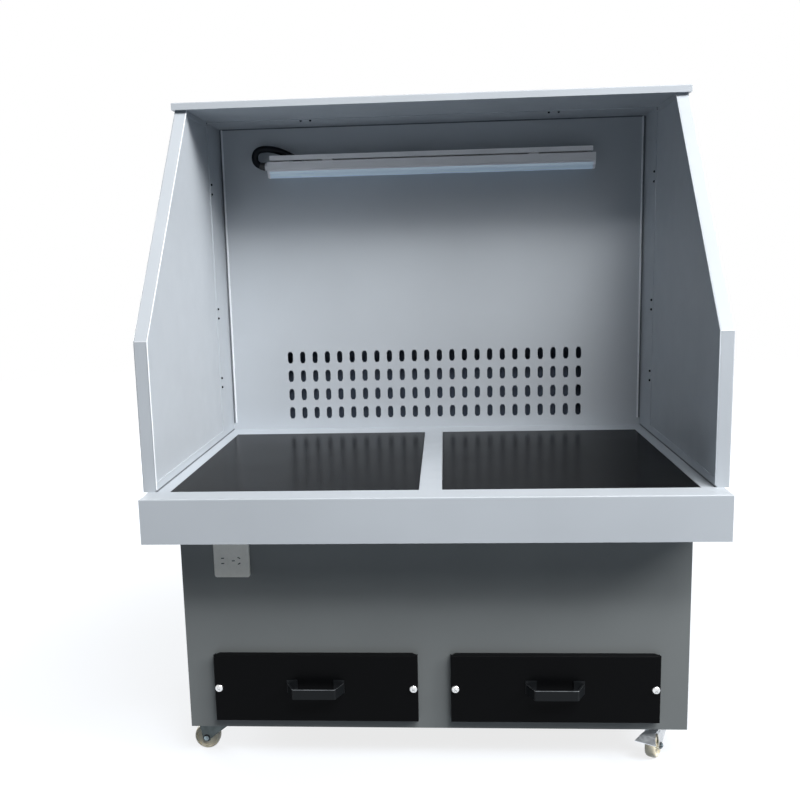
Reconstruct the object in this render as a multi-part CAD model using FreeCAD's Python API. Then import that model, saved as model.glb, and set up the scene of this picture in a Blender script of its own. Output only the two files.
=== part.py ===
import FreeCAD, Part
import math
import os

V = FreeCAD.Vector

# Downdraft table, millimetres. X runs to the right, Y away from the person at the front, Z up.
# The origin is on the floor under the middle of the table.

# Overall sizes
DEPTH = 950.0
FRONT = -DEPTH / 2
REAR = DEPTH / 2
CASTER_H = 95.0
SKIRT = 5.0

# Worktop box
WORKTOP_W = 1300.0
WORKTOP_Z = 710.0
APRON = 104.0
APRON_Z = WORKTOP_Z - APRON
WORKTOP_SHEET = 2.0
WORKTOP_BEND = 3.0

# Hood: two wings, back panel, duct behind it, roof
HOOD_OVER = 10.0
HOOD_W = WORKTOP_W + 2 * HOOD_OVER
HOOD_H = 912.0
HOOD_SET_BACK = 67.0
DUCT_DEPTH = 92.0
WING_T = 30.0
WING_KNEE_H = 346.0
WING_TOP_L = 347.0
ROOF_H = 18.0
ROOF_SIDE = 5.0
ROOF_OVERHANG = 15.0
ROOF_LIP = 14.0
SKIN = 1.5
SKIN_BEND = 2.5
SILL_H = 18.0
SILL_T = 2.0
SILL_GAP = 4.0
BACK_SHEET = 2.0
BACK_FLANGE = 140.0
BACK_BEND = 5.0
INNER_X = HOOD_W / 2 - WING_T
OUTER_X = HOOD_W / 2
ROOF_X = HOOD_W / 2 + ROOF_SIDE
BACK_Y = REAR - DUCT_DEPTH
WING_Y = FRONT + HOOD_SET_BACK
WING_TOP_Y = BACK_Y - WING_TOP_L
WING_KNEE_Z = WORKTOP_Z + WING_KNEE_H
ROOF_Y = WING_TOP_Y - ROOF_OVERHANG
ROOF_Z = WORKTOP_Z + HOOD_H

# Work plates, let into the worktop on either side of the centre bar
CENTRE_BAR = 55.0
FRONT_RIM = 69.5
SIDE_RIM = 53.0
REAR_RIM = 84.0
PLATE_SHEET = 2.5
PLATE_RIM = 17.7
PLATE_GAP = 1.5
PLATE_SEAT_GAP = 0.3
PLATE_IN = CENTRE_BAR / 2
PLATE_OUT = WORKTOP_W / 2 - SIDE_RIM
PLATE_Y0 = FRONT + FRONT_RIM
PLATE_Y1 = BACK_Y - REAR_RIM

# Suction slots of the back panel
SLOT_W = 16.0
SLOT_H = 38.0
SLOT_COLUMNS = 24
SLOT_COLUMN_PITCH = 38.35
SLOT_ROWS = 4
SLOT_ROW_PITCH = 57.7
SLOT_FOOT = 50.7

# Cabinet
CABINET_SIDE = 44.0
CABINET_FRONT = 146.0
CABINET_BACK = 10.0
CABINET_SHEET = 2.0
CABINET_BEND = 1.8
FAN_ROOM = 335.0
CABINET_X = WORKTOP_W / 2 - CABINET_SIDE
CABINET_Y = FRONT + CABINET_FRONT
CABINET_REAR = REAR - CABINET_BACK
PARTITION_Y = CABINET_REAR - FAN_ROOM

# Drawers
DRAWER_SPLIT = 79.0
DRAWER_SIDE = 70.0
DRAWER_FOOT = 22.0
DRAWER_H = 169.0
FRONT_PAN = 20.0
FRONT_GAP = 1.0
FRONT_BEND = 1.5
TRAY_SHEET = 1.5
TRAY_SIDE = 30.0
TRAY_RISE = 14.0
TRAY_H = 148.0
TRAY_BACK = 26.0
TRAY_ROOM = 4.0
LOCK_INSET = 11.0
LOCK_RISE = 85.5
LOCK_SHANK = 4.0
RUNNING_GAP = 0.06
HANDLE_RISE = 87.0
HANDLE_H = 25.0
HANDLE_BAR = 4.0
HANDLE_REACH = 38.0
HANDLE_FOOT = 70.0
HANDLE_GRIP = 51.0
HANDLE_PAD = (26.0, 3.0, 8.0)
DRAWER_IN = DRAWER_SPLIT / 2
DRAWER_OUT = CABINET_X - DRAWER_SIDE
DRAWER_Z0 = CASTER_H + DRAWER_FOOT
DRAWER_Z1 = DRAWER_Z0 + DRAWER_H
TRAY_IN = DRAWER_IN + TRAY_SIDE
TRAY_OUT = DRAWER_OUT - TRAY_SIDE
TRAY_Z0 = DRAWER_Z0 + TRAY_RISE
TRAY_REAR = PARTITION_Y - TRAY_BACK
LOCK_X = (DRAWER_IN + LOCK_INSET, DRAWER_OUT - LOCK_INSET)
LOCK_Z = DRAWER_Z0 + LOCK_RISE
HANDLE_Z = DRAWER_Z0 + HANDLE_RISE

# Casters
KING_SIDE = 54.0
KING_END = 67.0
TRAIL = 32.0
WHEEL_R = 32.5
WHEEL_W = 26.0
AXLE_R = 4.0
LEFT_TRAIL_DEG = 180.0
RIGHT_TRAIL_DEG = 240.0
KING_X = CABINET_X - KING_SIDE
KING_Y = (CABINET_Y + KING_END, CABINET_REAR - KING_END)


def box(x0, x1, y0, y1, z0, z1):
    return Part.makeBox(x1 - x0, y1 - y0, z1 - z0, V(x0, y0, z0))


def rod(r, start, along, length):
    return Part.makeCylinder(r, length, V(*start), V(*along))


def prism(points, along):
    ring = [V(*p) for p in points]
    return Part.Face(Part.makePolygon(ring + [ring[0]])).extrude(V(*along))


def many_sided(r, sides, start, along, length):
    along = V(*along)
    up = V(0, 0, 1) if abs(along.z) < 0.5 else V(0, 1, 0)
    side = along.cross(up)
    ring = []
    for k in range(sides):
        a = 2 * math.pi * k / sides
        ring.append(V(*start) + up * (r * math.cos(a)) + side * (r * math.sin(a)))
    return prism(ring, along * length)


def flat_sided(outline, sides):
    faces = []
    turns = [2 * math.pi * k / sides for k in range(sides)]
    for a, b in zip(turns, turns[1:] + turns[:1]):
        for (r0, y0), (r1, y1) in zip(outline, outline[1:]):
            ring = [V(r0 * math.cos(a), y0, r0 * math.sin(a)), V(r1 * math.cos(a), y1, r1 * math.sin(a))]
            if r1 > 0:
                ring.append(V(r1 * math.cos(b), y1, r1 * math.sin(b)))
            if r0 > 0:
                ring.append(V(r0 * math.cos(b), y0, r0 * math.sin(b)))
            faces.append(Part.Face(Part.makePolygon(ring + [ring[0]])))
    solid = Part.makeSolid(Part.makeShell(faces))
    if solid.Volume < 0:
        solid.reverse()
    return solid.removeSplitter()


def fuse(shapes):
    return shapes[0].multiFuse(shapes[1:]).removeSplitter()


def near(a, b):
    return abs(a - b) < 0.01


def edges_on(shape, test):
    return [e for e in shape.Edges if all(test(v.Point) for v in e.Vertexes)]


def upright_edges(shape, places):
    found = []
    for x, y in places:
        found += edges_on(shape, lambda p: near(p.x, x) and near(p.y, y))
    return found


def mirrored(shape):
    return shape.mirror(V(0, 0, 0), V(1, 0, 0))


def save(name, shape):
    shape.exportStep("parts/%s.step" % name)


os.makedirs("parts", exist_ok=True)

# Worktop box: one folded sheet with an apron on all sides, open below
half_w = WORKTOP_W / 2
t = WORKTOP_SHEET
worktop = box(-half_w, half_w, FRONT, REAR, APRON_Z, WORKTOP_Z)
worktop = worktop.makeFillet(WORKTOP_BEND, edges_on(worktop, lambda p: near(p.z, WORKTOP_Z)))
worktop = worktop.cut(box(-half_w + t, half_w - t, FRONT + t, REAR - t, APRON_Z - 1, WORKTOP_Z - t))
seat_x0 = PLATE_IN - PLATE_GAP
seat_x1 = PLATE_OUT + PLATE_GAP
seat_y0 = PLATE_Y0 - PLATE_GAP
seat_y1 = PLATE_Y1 + PLATE_GAP
seat = box(seat_x0, seat_x1, seat_y0, seat_y1, WORKTOP_Z - 2 * t, WORKTOP_Z + 1)
MOUTH_EDGE = 9.0
MOUTH_SIDE = 30.0
mouth_x = INNER_X - MOUTH_SIDE
mouth = box(-mouth_x, mouth_x, BACK_Y + MOUTH_EDGE, REAR - MOUTH_EDGE, WORKTOP_Z - 2 * t, WORKTOP_Z + 1)
worktop = worktop.cut(Part.makeCompound([seat, mirrored(seat), mouth]))
save("worktop_frame", worktop)

# Floor of the worktop box, open over the two dust bays
BAY_EDGE = 20.0
pan = box(-half_w + t, half_w - t, FRONT + t, REAR - t, APRON_Z, APRON_Z + SKIN)
bay = box(BAY_EDGE, CABINET_X - BAY_EDGE, CABINET_Y + BAY_EDGE, PARTITION_Y - BAY_EDGE,
          APRON_Z - 1, APRON_Z + SKIN + 1)
save("worktop_pan", pan.cut(Part.makeCompound([bay, mirrored(bay)])))

# Ledges that carry the plates' front and rear rims
LEDGE_OUT = 14.0
LEDGE_IN = 11.0
ledge_x = seat_x1 + LEDGE_OUT
ledge_z = WORKTOP_Z - PLATE_RIM - PLATE_SEAT_GAP
ledges = []
for edge_y, inward in ((seat_y0, 1), (seat_y1, -1)):
    out = edge_y - LEDGE_OUT * inward
    shelf_y = sorted((out, edge_y + LEDGE_IN * inward))
    leg_y = sorted((out, out + t * inward))
    shelf = box(-ledge_x, ledge_x, shelf_y[0], shelf_y[1], ledge_z - t, ledge_z)
    leg = box(-ledge_x, ledge_x, leg_y[0], leg_y[1], ledge_z, WORKTOP_Z - t)
    ledges.append(fuse([shelf, leg]))
save("plate_ledges", Part.makeCompound(ledges))

# Work plates: folded black pans that lift out of the worktop
plate_z0 = WORKTOP_Z - PLATE_RIM
plate = box(PLATE_IN, PLATE_OUT, PLATE_Y0, PLATE_Y1, plate_z0, WORKTOP_Z)
plate = plate.cut(box(PLATE_IN + t, PLATE_OUT - t, PLATE_Y0 + t, PLATE_Y1 - t,
                      plate_z0 - 1, WORKTOP_Z - PLATE_SHEET))
save("plate_right", plate)
save("plate_left", mirrored(plate))

# Wings: an outer pan and an inner skin with a sill strip along its foot
wing_line = [(WING_Y, WORKTOP_Z), (WING_Y, WING_KNEE_Z), (WING_TOP_Y, ROOF_Z), (REAR, ROOF_Z),
             (REAR, WORKTOP_Z)]
slope = math.atan2(ROOF_Z - WING_KNEE_Z, WING_TOP_Y - WING_Y)
knee_drop = SKIN * math.tan((math.pi / 2 - slope) / 2)
top_shift = SKIN * math.tan(slope / 2)
wing_hollow = [(WING_Y + SKIN, WORKTOP_Z + SKIN), (WING_Y + SKIN, WING_KNEE_Z - knee_drop),
               (WING_TOP_Y + top_shift, ROOF_Z - SKIN), (REAR - SKIN, ROOF_Z - SKIN),
               (REAR - SKIN, WORKTOP_Z + SKIN)]


def front_edges(shape, x):
    return edges_on(shape, lambda p: near(p.x, x) and p.y < WING_TOP_Y + 0.01)


wing = prism([(INNER_X + SKIN, y, z) for y, z in wing_line], (WING_T - SKIN, 0, 0))
wing = wing.makeFillet(SKIN_BEND, front_edges(wing, OUTER_X))
wing = wing.cut(prism([(INNER_X, y, z) for y, z in wing_hollow], (WING_T - SKIN, 0, 0)))
save("wing_right", wing)
save("wing_left", mirrored(wing))
sill_z0 = WORKTOP_Z + SILL_GAP
sill_z1 = sill_z0 + SILL_H
skin_line = [(y, max(z, sill_z0)) for y, z in wing_line]
skin = prism([(INNER_X, y, z) for y, z in skin_line], (SKIN, 0, 0))
skin = skin.makeFillet(0.8 * SKIN, front_edges(skin, INNER_X))
sill = box(INNER_X - SILL_T, INNER_X, WING_Y + 2 * SKIN, BACK_Y - BACK_BEND, sill_z0, sill_z1)
skin = fuse([skin, sill])
save("wing_right_skin", skin)
save("wing_left_skin", mirrored(skin))

# Back panel: slotted sheet folded forward along the wings and under the roof
flange_y = BACK_Y - BACK_FLANGE
fold_y = BACK_Y + BACK_SHEET
back = box(-INNER_X, INNER_X, flange_y, fold_y, WORKTOP_Z, ROOF_Z)
back = back.makeFillet(BACK_BEND, upright_edges(back, [(-INNER_X, fold_y), (INNER_X, fold_y)]))
hollow_x = INNER_X - BACK_SHEET
hollow = box(-hollow_x, hollow_x, flange_y - 1, BACK_Y, WORKTOP_Z - 1, ROOF_Z - BACK_SHEET)
inner_folds = upright_edges(hollow, [(-hollow_x, BACK_Y), (hollow_x, BACK_Y)])
hollow = hollow.makeFillet(BACK_BEND - BACK_SHEET, inner_folds)
back = back.cut(hollow)
back = back.cut(box(-INNER_X - 1, INNER_X + 1, flange_y - 1, BACK_Y - BACK_BEND, WORKTOP_Z - 1, sill_z1))
END_STEPS = 3


def slot_at(x, z):
    r = SLOT_W / 2
    s = SLOT_H / 2 - r
    ring = []
    for end in (0, 1):
        for k in range(END_STEPS + 1):
            a = math.pi * (k / END_STEPS + end)
            ring.append((x + r * math.cos(a), BACK_Y - 1, z + (s if end == 0 else -s) + r * math.sin(a)))
    return prism(ring, (0, BACK_SHEET + 2, 0))


slots = []
for column in range(SLOT_COLUMNS):
    for row in range(SLOT_ROWS):
        slots.append(slot_at((column - (SLOT_COLUMNS - 1) / 2) * SLOT_COLUMN_PITCH,
                             WORKTOP_Z + SLOT_FOOT + row * SLOT_ROW_PITCH))
LAMP_HALF = 470.0
LAMP_DROP = 106.0
LEAD_R = 9.7
LEAD_HOLE_IN = 75.0
LEAD_HOLE_RISE = 10.5
GROMMET_NECK = 11.5
HOLE_SIDES = 16
lamp_top = ROOF_Z - LAMP_DROP
lead_hole_x = LEAD_HOLE_IN - LAMP_HALF
lead_hole_z = lamp_top + LEAD_HOLE_RISE
lead_hole = (lead_hole_x, BACK_Y - 1, lead_hole_z)
slots.append(many_sided(GROMMET_NECK, HOLE_SIDES, lead_hole, (0, 1, 0), BACK_SHEET + 2))
back = back.cut(Part.makeCompound(slots))
save("back_panel", back)

# Cover of the air duct behind the back panel
COVER_D = 15.0
cover = box(-INNER_X, INNER_X, REAR - COVER_D, REAR, WORKTOP_Z, ROOF_Z)
cover = cover.cut(box(-INNER_X + SKIN, INNER_X - SKIN, REAR - COVER_D - 1, REAR - SKIN,
                      WORKTOP_Z - 1, ROOF_Z + 1))
save("duct_cover", cover)

# Roof: shallow folded pan with a lining below, whose side lips hang along the wings
roof = box(-ROOF_X, ROOF_X, ROOF_Y, REAR, ROOF_Z, ROOF_Z + ROOF_H)
roof = roof.makeFillet(SKIN_BEND, edges_on(roof, lambda p: near(p.z, ROOF_Z + ROOF_H)))
roof = roof.cut(box(-ROOF_X + SKIN, ROOF_X - SKIN, ROOF_Y + SKIN, REAR - SKIN,
                    ROOF_Z - 1, ROOF_Z + ROOF_H - SKIN))
save("roof", roof)
lining = box(-ROOF_X + SKIN, ROOF_X - SKIN, ROOF_Y + SKIN, REAR - SKIN, ROOF_Z, ROOF_Z + SKIN)
lip = box(INNER_X - SKIN, INNER_X, WING_TOP_Y, flange_y - 1, ROOF_Z - ROOF_LIP, ROOF_Z)
save("roof_lining", fuse([lining, lip, mirrored(lip)]))

# Screws that hold the back panel's flanges, in pairs
SCREW_R = 4.0
SCREW_H = 2.0
SCREW_SET_BACK = 10.0
SCREW_PAIR = 27.0
WING_SCREW_RISE = (153.0, 357.0, 713.0)
ROOF_SCREW_X = 348.0
screw_y = flange_y + SCREW_SET_BACK

screws = []
for side in (-1, 1):
    for rise in WING_SCREW_RISE:
        for off in (0, SCREW_PAIR):
            place = (side * hollow_x, screw_y, WORKTOP_Z + rise + off)
            screws.append(many_sided(SCREW_R, 6, place, (-side, 0, 0), SCREW_H))
    for off in (-SCREW_PAIR / 2, SCREW_PAIR / 2):
        place = (side * ROOF_SCREW_X + off, screw_y, ROOF_Z - BACK_SHEET)
        screws.append(many_sided(SCREW_R, 6, place, (0, 0, -1), SCREW_H))
save("hood_screws", Part.makeCompound(screws))

# Lamp: folded bracket, extruded body, domed lens and two end caps
LAMP_OUT = 33.0
LAMP_H = 27.0
LAMP_D = 50.0
LAMP_CAP = 7.0
LENS_DROP = 18.0
BRACKET_SHORT = 2.0
BRACKET_D = 62.0
BRACKET_LIP = 13.5
LAMP_GAP = 4.0
LAMP_CLIP = (30.0, 36.0)
LAMP_CLIP_X = 300.0
LEAD_NOTCH = 25.0
lamp_y = BACK_Y - LAMP_OUT
bracket_x = LAMP_HALF - BRACKET_SHORT
bracket_y = BACK_Y - BRACKET_D
bracket_z = lamp_top + LAMP_GAP
lip_z = bracket_z + BRACKET_LIP
bracket = fuse([
    box(-bracket_x, bracket_x, bracket_y, BACK_Y, bracket_z, bracket_z + SKIN),
    box(-bracket_x, bracket_x, bracket_y, bracket_y + SKIN, bracket_z, lip_z),
    box(-bracket_x, bracket_x, BACK_Y - SKIN, BACK_Y, bracket_z, lip_z)])
notch = box(lead_hole_x - LEAD_NOTCH, lead_hole_x + LEAD_NOTCH, lamp_y - LEAD_R - 3, BACK_Y + 1,
            lamp_top, lip_z + 1)
save("lamp_bracket", bracket.cut(notch))
lens_z = lamp_top - LAMP_H
half_d = LAMP_D / 2
body_line = [(-half_d, lamp_top), (half_d, lamp_top), (half_d, lens_z + 6), (half_d - 4, lens_z),
             (4 - half_d, lens_z), (-half_d, lens_z + 6)]
lamp = prism([(-LAMP_HALF, lamp_y + y, z) for y, z in body_line], (2 * LAMP_HALF, 0, 0))
clips = [box(x - LAMP_CLIP[0] / 2, x + LAMP_CLIP[0] / 2, lamp_y - LAMP_CLIP[1] / 2, lamp_y + LAMP_CLIP[1] / 2,
             lamp_top, bracket_z) for x in (-LAMP_CLIP_X, LAMP_CLIP_X)]
save("lamp_body", fuse([lamp] + clips))
lens_d = half_d - 5
lens_arc = Part.Arc(V(-LAMP_HALF, lamp_y - lens_d, lens_z), V(-LAMP_HALF, lamp_y, lens_z - LENS_DROP),
                    V(-LAMP_HALF, lamp_y + lens_d, lens_z)).toShape()
lens_top = Part.makeLine(V(-LAMP_HALF, lamp_y + lens_d, lens_z), V(-LAMP_HALF, lamp_y - lens_d, lens_z))
save("lamp_lens", Part.Face(Part.Wire([lens_arc, lens_top])).extrude(V(2 * LAMP_HALF, 0, 0)))
cap_line = [(-half_d, lamp_top), (half_d, lamp_top), (half_d, lens_z + 6), (lens_d, lens_z - 6),
            (lens_d / 2, lens_z - LENS_DROP + 1), (-lens_d / 2, lens_z - LENS_DROP + 1),
            (-lens_d, lens_z - 6), (-half_d, lens_z + 6)]
cap = prism([(LAMP_HALF, lamp_y + y, z) for y, z in cap_line], (LAMP_CAP, 0, 0))
LEAD_WALL = 1.2
LEAD_GLAND = 9.0
lead_z = lamp_top - LEAD_WALL - LEAD_R
cap_x = -LAMP_HALF - LAMP_CAP
gland = rod(LEAD_R + LEAD_WALL, (cap_x - LEAD_GLAND, lamp_y, lead_z), (1, 0, 0), LEAD_GLAND)
left_cap = fuse([mirrored(cap), gland])
left_cap = left_cap.cut(rod(LEAD_R, (cap_x - LEAD_GLAND - 1, lamp_y, lead_z), (1, 0, 0), LEAD_GLAND + 5))
save("lamp_end_caps", Part.makeCompound([cap, left_cap]))


# Lamp lead: leaves the left cap, folds up and back over the bracket, and enters the back panel
def bent_tube(face, points):
    pieces = []
    last = V(*points[0])
    for before, corner, after in zip(points, points[1:], points[2:]):
        corner = V(*corner)
        inward = V(*before) - corner
        onward = V(*after) - corner
        half_turn = (math.pi - inward.getAngle(onward)) / 2
        radius = 0.45 * min(inward.Length, onward.Length) / math.tan(half_turn)
        print("lamp lead bend radius %.1f" % radius)
        axis = onward.cross(inward)
        run = corner + inward.normalize() * (radius * math.tan(half_turn)) - last
        centre = corner + (inward + onward.normalize()).normalize() * (radius / math.cos(half_turn))
        pieces.append(face.extrude(run))
        face.translate(run)
        pieces.append(face.revolve(centre, axis, math.degrees(2 * half_turn)))
        face.rotate(centre, axis, math.degrees(2 * half_turn))
        last = corner + onward * (radius * math.tan(half_turn))
    pieces.append(face.extrude(V(*points[-1]) - last))
    return fuse(pieces)


LEAD_FOLD = 46.5
LEAD_LOOP = 51.0
LEAD_CREST = 15.0
LEAD_GAP = 0.1
fold_x = -LAMP_HALF - LEAD_FOLD
loop_z = lead_z + LEAD_LOOP
lead_points = [(cap_x + 3, lamp_y, lead_z), (fold_x, lamp_y, lead_z), (fold_x, lamp_y, loop_z),
               (LEAD_CREST - LAMP_HALF, lamp_y, loop_z), (lead_hole_x, lamp_y, lead_hole_z),
               (lead_hole_x, BACK_Y + 20, lead_hole_z)]
LEAD_SIDES = 6
ring = []
for k in range(LEAD_SIDES + 1):
    a = 2 * math.pi * k / LEAD_SIDES
    ring.append(V(*lead_points[0]) + V(0, math.cos(a), math.sin(a)) * (LEAD_R - LEAD_GAP))
save("lamp_lead", bent_tube(Part.Face(Part.makePolygon(ring)), lead_points))
GROMMET_R = 13.0
GROMMET_T = 3.0
collar = (lead_hole_x, BACK_Y - GROMMET_T, lead_hole_z)
grommet = fuse([many_sided(GROMMET_R, HOLE_SIDES, collar, (0, 1, 0), GROMMET_T),
                many_sided(GROMMET_NECK, HOLE_SIDES, collar, (0, 1, 0), GROMMET_T + BACK_SHEET)])
grommet = grommet.cut(many_sided(LEAD_R, HOLE_SIDES, (lead_hole_x, BACK_Y - 9, lead_hole_z), (0, 1, 0), 30))
save("lead_grommet", grommet)

# Cabinet: shell of two sides and a floor, front sheet, rear sheet and louvred rear panel
c = CABINET_SHEET
cab_y0 = CABINET_Y + c
cab_y1 = CABINET_REAR - c
skirt_z = CASTER_H - SKIRT
shell = box(-CABINET_X, CABINET_X, cab_y0, cab_y1, skirt_z, APRON_Z)
shell = shell.cut(box(-CABINET_X + c, CABINET_X - c, cab_y0 - 1, cab_y1 + 1, CASTER_H + c, APRON_Z + 1))
shell = shell.cut(box(-CABINET_X + c, CABINET_X - c, cab_y0 - 1, cab_y1 + 1, skirt_z - 1, CASTER_H))
save("cabinet_shell", shell)
SOCKET_IN = 125.0
SOCKET_DROP = 83.0
SOCKET = 86.0
SOCKET_BOX = 74.0
socket_x = SOCKET_IN - CABINET_X
socket_z = APRON_Z - SOCKET_DROP
front = box(-CABINET_X, CABINET_X, CABINET_Y, cab_y0, skirt_z, APRON_Z)
front = front.makeFillet(CABINET_BEND, edges_on(front, lambda p: near(p.y, CABINET_Y) and near(p.z, skirt_z))
                         + upright_edges(front, [(-CABINET_X, CABINET_Y), (CABINET_X, CABINET_Y)]))
way = box(TRAY_IN - TRAY_ROOM, TRAY_OUT + TRAY_ROOM, CABINET_Y - 1, cab_y0 + 1, TRAY_Z0 - TRAY_ROOM,
          TRAY_Z0 + TRAY_H + TRAY_ROOM)
ways = [way, mirrored(way)]
for x in LOCK_X:
    for side in (-1, 1):
        ways.append(many_sided(LOCK_SHANK + 1.5, 8, (side * x, CABINET_Y - 1, LOCK_Z), (0, 1, 0), c + 2))
half_box = SOCKET_BOX / 2
ways.append(box(socket_x - half_box, socket_x + half_box, CABINET_Y - 1, cab_y0 + 1,
                socket_z - half_box, socket_z + half_box))
save("cabinet_front", front.cut(Part.makeCompound(ways)))
GLAND_IN = 66.0
GLAND_RISE = 65.0
GLAND_R = 10.0
GLAND_GAP = 0.3
GLAND_BORE = 5.0
gland_x = GLAND_IN - CABINET_X
gland_z = CASTER_H + GLAND_RISE
HATCH_W = 860.0
HATCH_RISE = 45.0
HATCH_H = 420.0
HATCH_LAP = 20.0
hatch_z = CASTER_H + HATCH_RISE
rear = box(-CABINET_X, CABINET_X, cab_y1, CABINET_REAR, skirt_z, APRON_Z)
rear = rear.cut(box(-HATCH_W / 2, HATCH_W / 2, cab_y1 - 1, CABINET_REAR + 1, hatch_z, hatch_z + HATCH_H))
rear = rear.cut(many_sided(GLAND_R + GLAND_GAP, HOLE_SIDES, (gland_x, cab_y1 - 1, gland_z), (0, 1, 0), c + 2))
save("cabinet_rear", rear)
FAN_BACK = 167.0
FAN_RISE = 205.0
CASING_R0 = 125.0
CASING_R1 = 160.0
OUTLET_H = 80.0
fan_y = CABINET_REAR - FAN_BACK
fan_z = CASTER_H + FAN_RISE
outlet_z = fan_z + CASING_R1 - OUTLET_H
LOUVRE = (52.0, 6.0)
LOUVRE_PITCH = (60.0, 12.0)
hatch_x = HATCH_W / 2 + HATCH_LAP
panel = box(-hatch_x, hatch_x, CABINET_REAR, CABINET_REAR + c,
            hatch_z - HATCH_LAP, hatch_z + HATCH_H + HATCH_LAP)
louvres = []
for column in (-0.5, 0.5):
    for row in range(6):
        x0 = column * LOUVRE_PITCH[0] - LOUVRE[0] / 2
        z0 = outlet_z + 8 + row * LOUVRE_PITCH[1]
        louvres.append(box(x0, x0 + LOUVRE[0], CABINET_REAR - 1, CABINET_REAR + c + 1, z0, z0 + LOUVRE[1]))
save("rear_panel", panel.cut(Part.makeCompound(louvres)))
NUT_R = 13.0
NUT_T = 8.0
GLAND_L = 18.0
nut = many_sided(NUT_R, 6, (gland_x, CABINET_REAR, gland_z), (0, 1, 0), NUT_T)
neck = many_sided(GLAND_R, HOLE_SIDES, (gland_x, cab_y1 - GLAND_L, gland_z), (0, 1, 0), GLAND_L + c)
mains = fuse([nut, neck])
bore = many_sided(GLAND_BORE, HOLE_SIDES, (gland_x, cab_y1 - GLAND_L - 1, gland_z), (0, 1, 0), GLAND_L + 20)
save("mains_gland", mains.cut(bore))

# Wall socket: plate with two-pin and three-pin openings, in a box behind the front sheet
SOCKET_T = 8.5
SOCKET_CORNER = 6.0
SOCKET_CHAMFER = 1.5
half_s = SOCKET / 2
socket_y = CABINET_Y - SOCKET_T
sock = box(socket_x - half_s, socket_x + half_s, socket_y, CABINET_Y, socket_z - half_s, socket_z + half_s)
sock = sock.makeFillet(SOCKET_CORNER, [e for e in sock.Edges if near(e.Length, SOCKET_T)])
sock = sock.makeChamfer(SOCKET_CHAMFER, edges_on(sock, lambda p: near(p.y, socket_y)))
PIN = (7.4, 2.8)
PIN_DEPTH = 6.0
pins = []
for px, pz, turn in ((-21.5, 4.8, 0), (-21.5, -8.0, 0), (4.4, -1.6, 0), (18.3, 5.6, 30), (18.3, -8.8, -30)):
    slot = Part.makeBox(PIN[0], PIN_DEPTH + 1, PIN[1], V(-PIN[0] / 2, -1, -PIN[1] / 2))
    slot.rotate(V(0, 0, 0), V(0, 1, 0), turn)
    slot.translate(V(socket_x + px, socket_y, socket_z + pz))
    pins.append(slot)
save("socket_plate", sock.cut(Part.makeCompound(pins)))
BOX_D = 45.0
case = box(socket_x - half_box, socket_x + half_box, CABINET_Y, CABINET_Y + BOX_D,
           socket_z - half_box, socket_z + half_box)
case = case.cut(box(socket_x - half_box + c, socket_x + half_box - c, CABINET_Y - 1, CABINET_Y + BOX_D - c,
                    socket_z - half_box + c, socket_z + half_box - c))
save("socket_box", case)

# Partition between the dust bays and the fan room, with a mouth for each filter
FILTER_X = 300.0
FILTER_DROP = 156.0
FILTER_BORE = 95.0
FILTER_SIDES = 32
filter_z = APRON_Z - FILTER_DROP
partition = box(-CABINET_X + c, CABINET_X - c, PARTITION_Y, PARTITION_Y + c, CASTER_H + c, APRON_Z)
mouths = [many_sided(FILTER_BORE, FILTER_SIDES, (s * FILTER_X, PARTITION_Y - 1, filter_z), (0, 1, 0), c + 2)
          for s in (-1, 1)]
save("filter_partition", partition.cut(Part.makeCompound(mouths)))

# Pleated filter cartridges, hung forward from the partition over the drawers
PLEATS = 16
PLEAT_R = (110.0, 140.0)
FILTER_FRONT = 67.0
FILTER_CAP = 12.0
filter_y = CABINET_Y + FILTER_FRONT
star = []
for k in range(2 * PLEATS):
    r = PLEAT_R[k % 2]
    a = math.pi * k / PLEATS
    star.append((FILTER_X + r * math.cos(a), filter_y, filter_z + r * math.sin(a)))
media = prism(star, (0, PARTITION_Y - filter_y, 0))
end_r = PLEAT_R[1] + 6
closed_end = many_sided(end_r, PLEATS, (FILTER_X, filter_y, filter_z), (0, 1, 0), FILTER_CAP)
open_end = many_sided(end_r, PLEATS, (FILTER_X, PARTITION_Y - FILTER_CAP, filter_z), (0, 1, 0), FILTER_CAP)
cartridge = media.fuse([closed_end, open_end])
inside = many_sided(FILTER_BORE, FILTER_SIDES, (FILTER_X, filter_y + FILTER_CAP, filter_z), (0, 1, 0), DEPTH)
cartridge = cartridge.cut(inside)
save("filter_cartridges", Part.makeCompound([cartridge, mirrored(cartridge)]))

# Fan casing: a spiral that opens through the rear panel
CASING_W = 120.0
IMPELLER_R = 112.0
INLET_R = 72.0
COLLAR = 8.0
casing_x = CASING_W / 2


def spiral(inset, mouth_y):
    cut = math.radians(40)
    top_z = fan_z + CASING_R1 - inset
    line = [(fan_y, top_z), (mouth_y, top_z), (mouth_y, outlet_z + inset)]
    steps = 26
    for k in range(steps):
        share = k / steps
        a = cut - share * math.radians(310)
        r = CASING_R0 + share * (CASING_R1 - CASING_R0) - inset
        line.append((fan_y + r * math.cos(a), fan_z + r * math.sin(a)))
    return line


casing = prism([(-casing_x, y, z) for y, z in spiral(0, cab_y1 - c)], (CASING_W, 0, 0))
air_way = prism([(c - casing_x, y, z) for y, z in spiral(c, CABINET_REAR)], (CASING_W - 2 * c, 0, 0))
casing = casing.cut(air_way)
INLET_SIDES = 32
casing = casing.fuse(many_sided(INLET_R + COLLAR, INLET_SIDES, (casing_x, fan_y, fan_z), (1, 0, 0), COLLAR))
casing = casing.cut(many_sided(INLET_R, INLET_SIDES, (casing_x - c - 1, fan_y, fan_z), (1, 0, 0),
                               COLLAR + c + 2))
SHAFT_WAY = 30.0
casing = casing.cut(many_sided(SHAFT_WAY, HOLE_SIDES, (-casing_x - 1, fan_y, fan_z), (1, 0, 0), c + 2))
save("fan_casing", casing)

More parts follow.
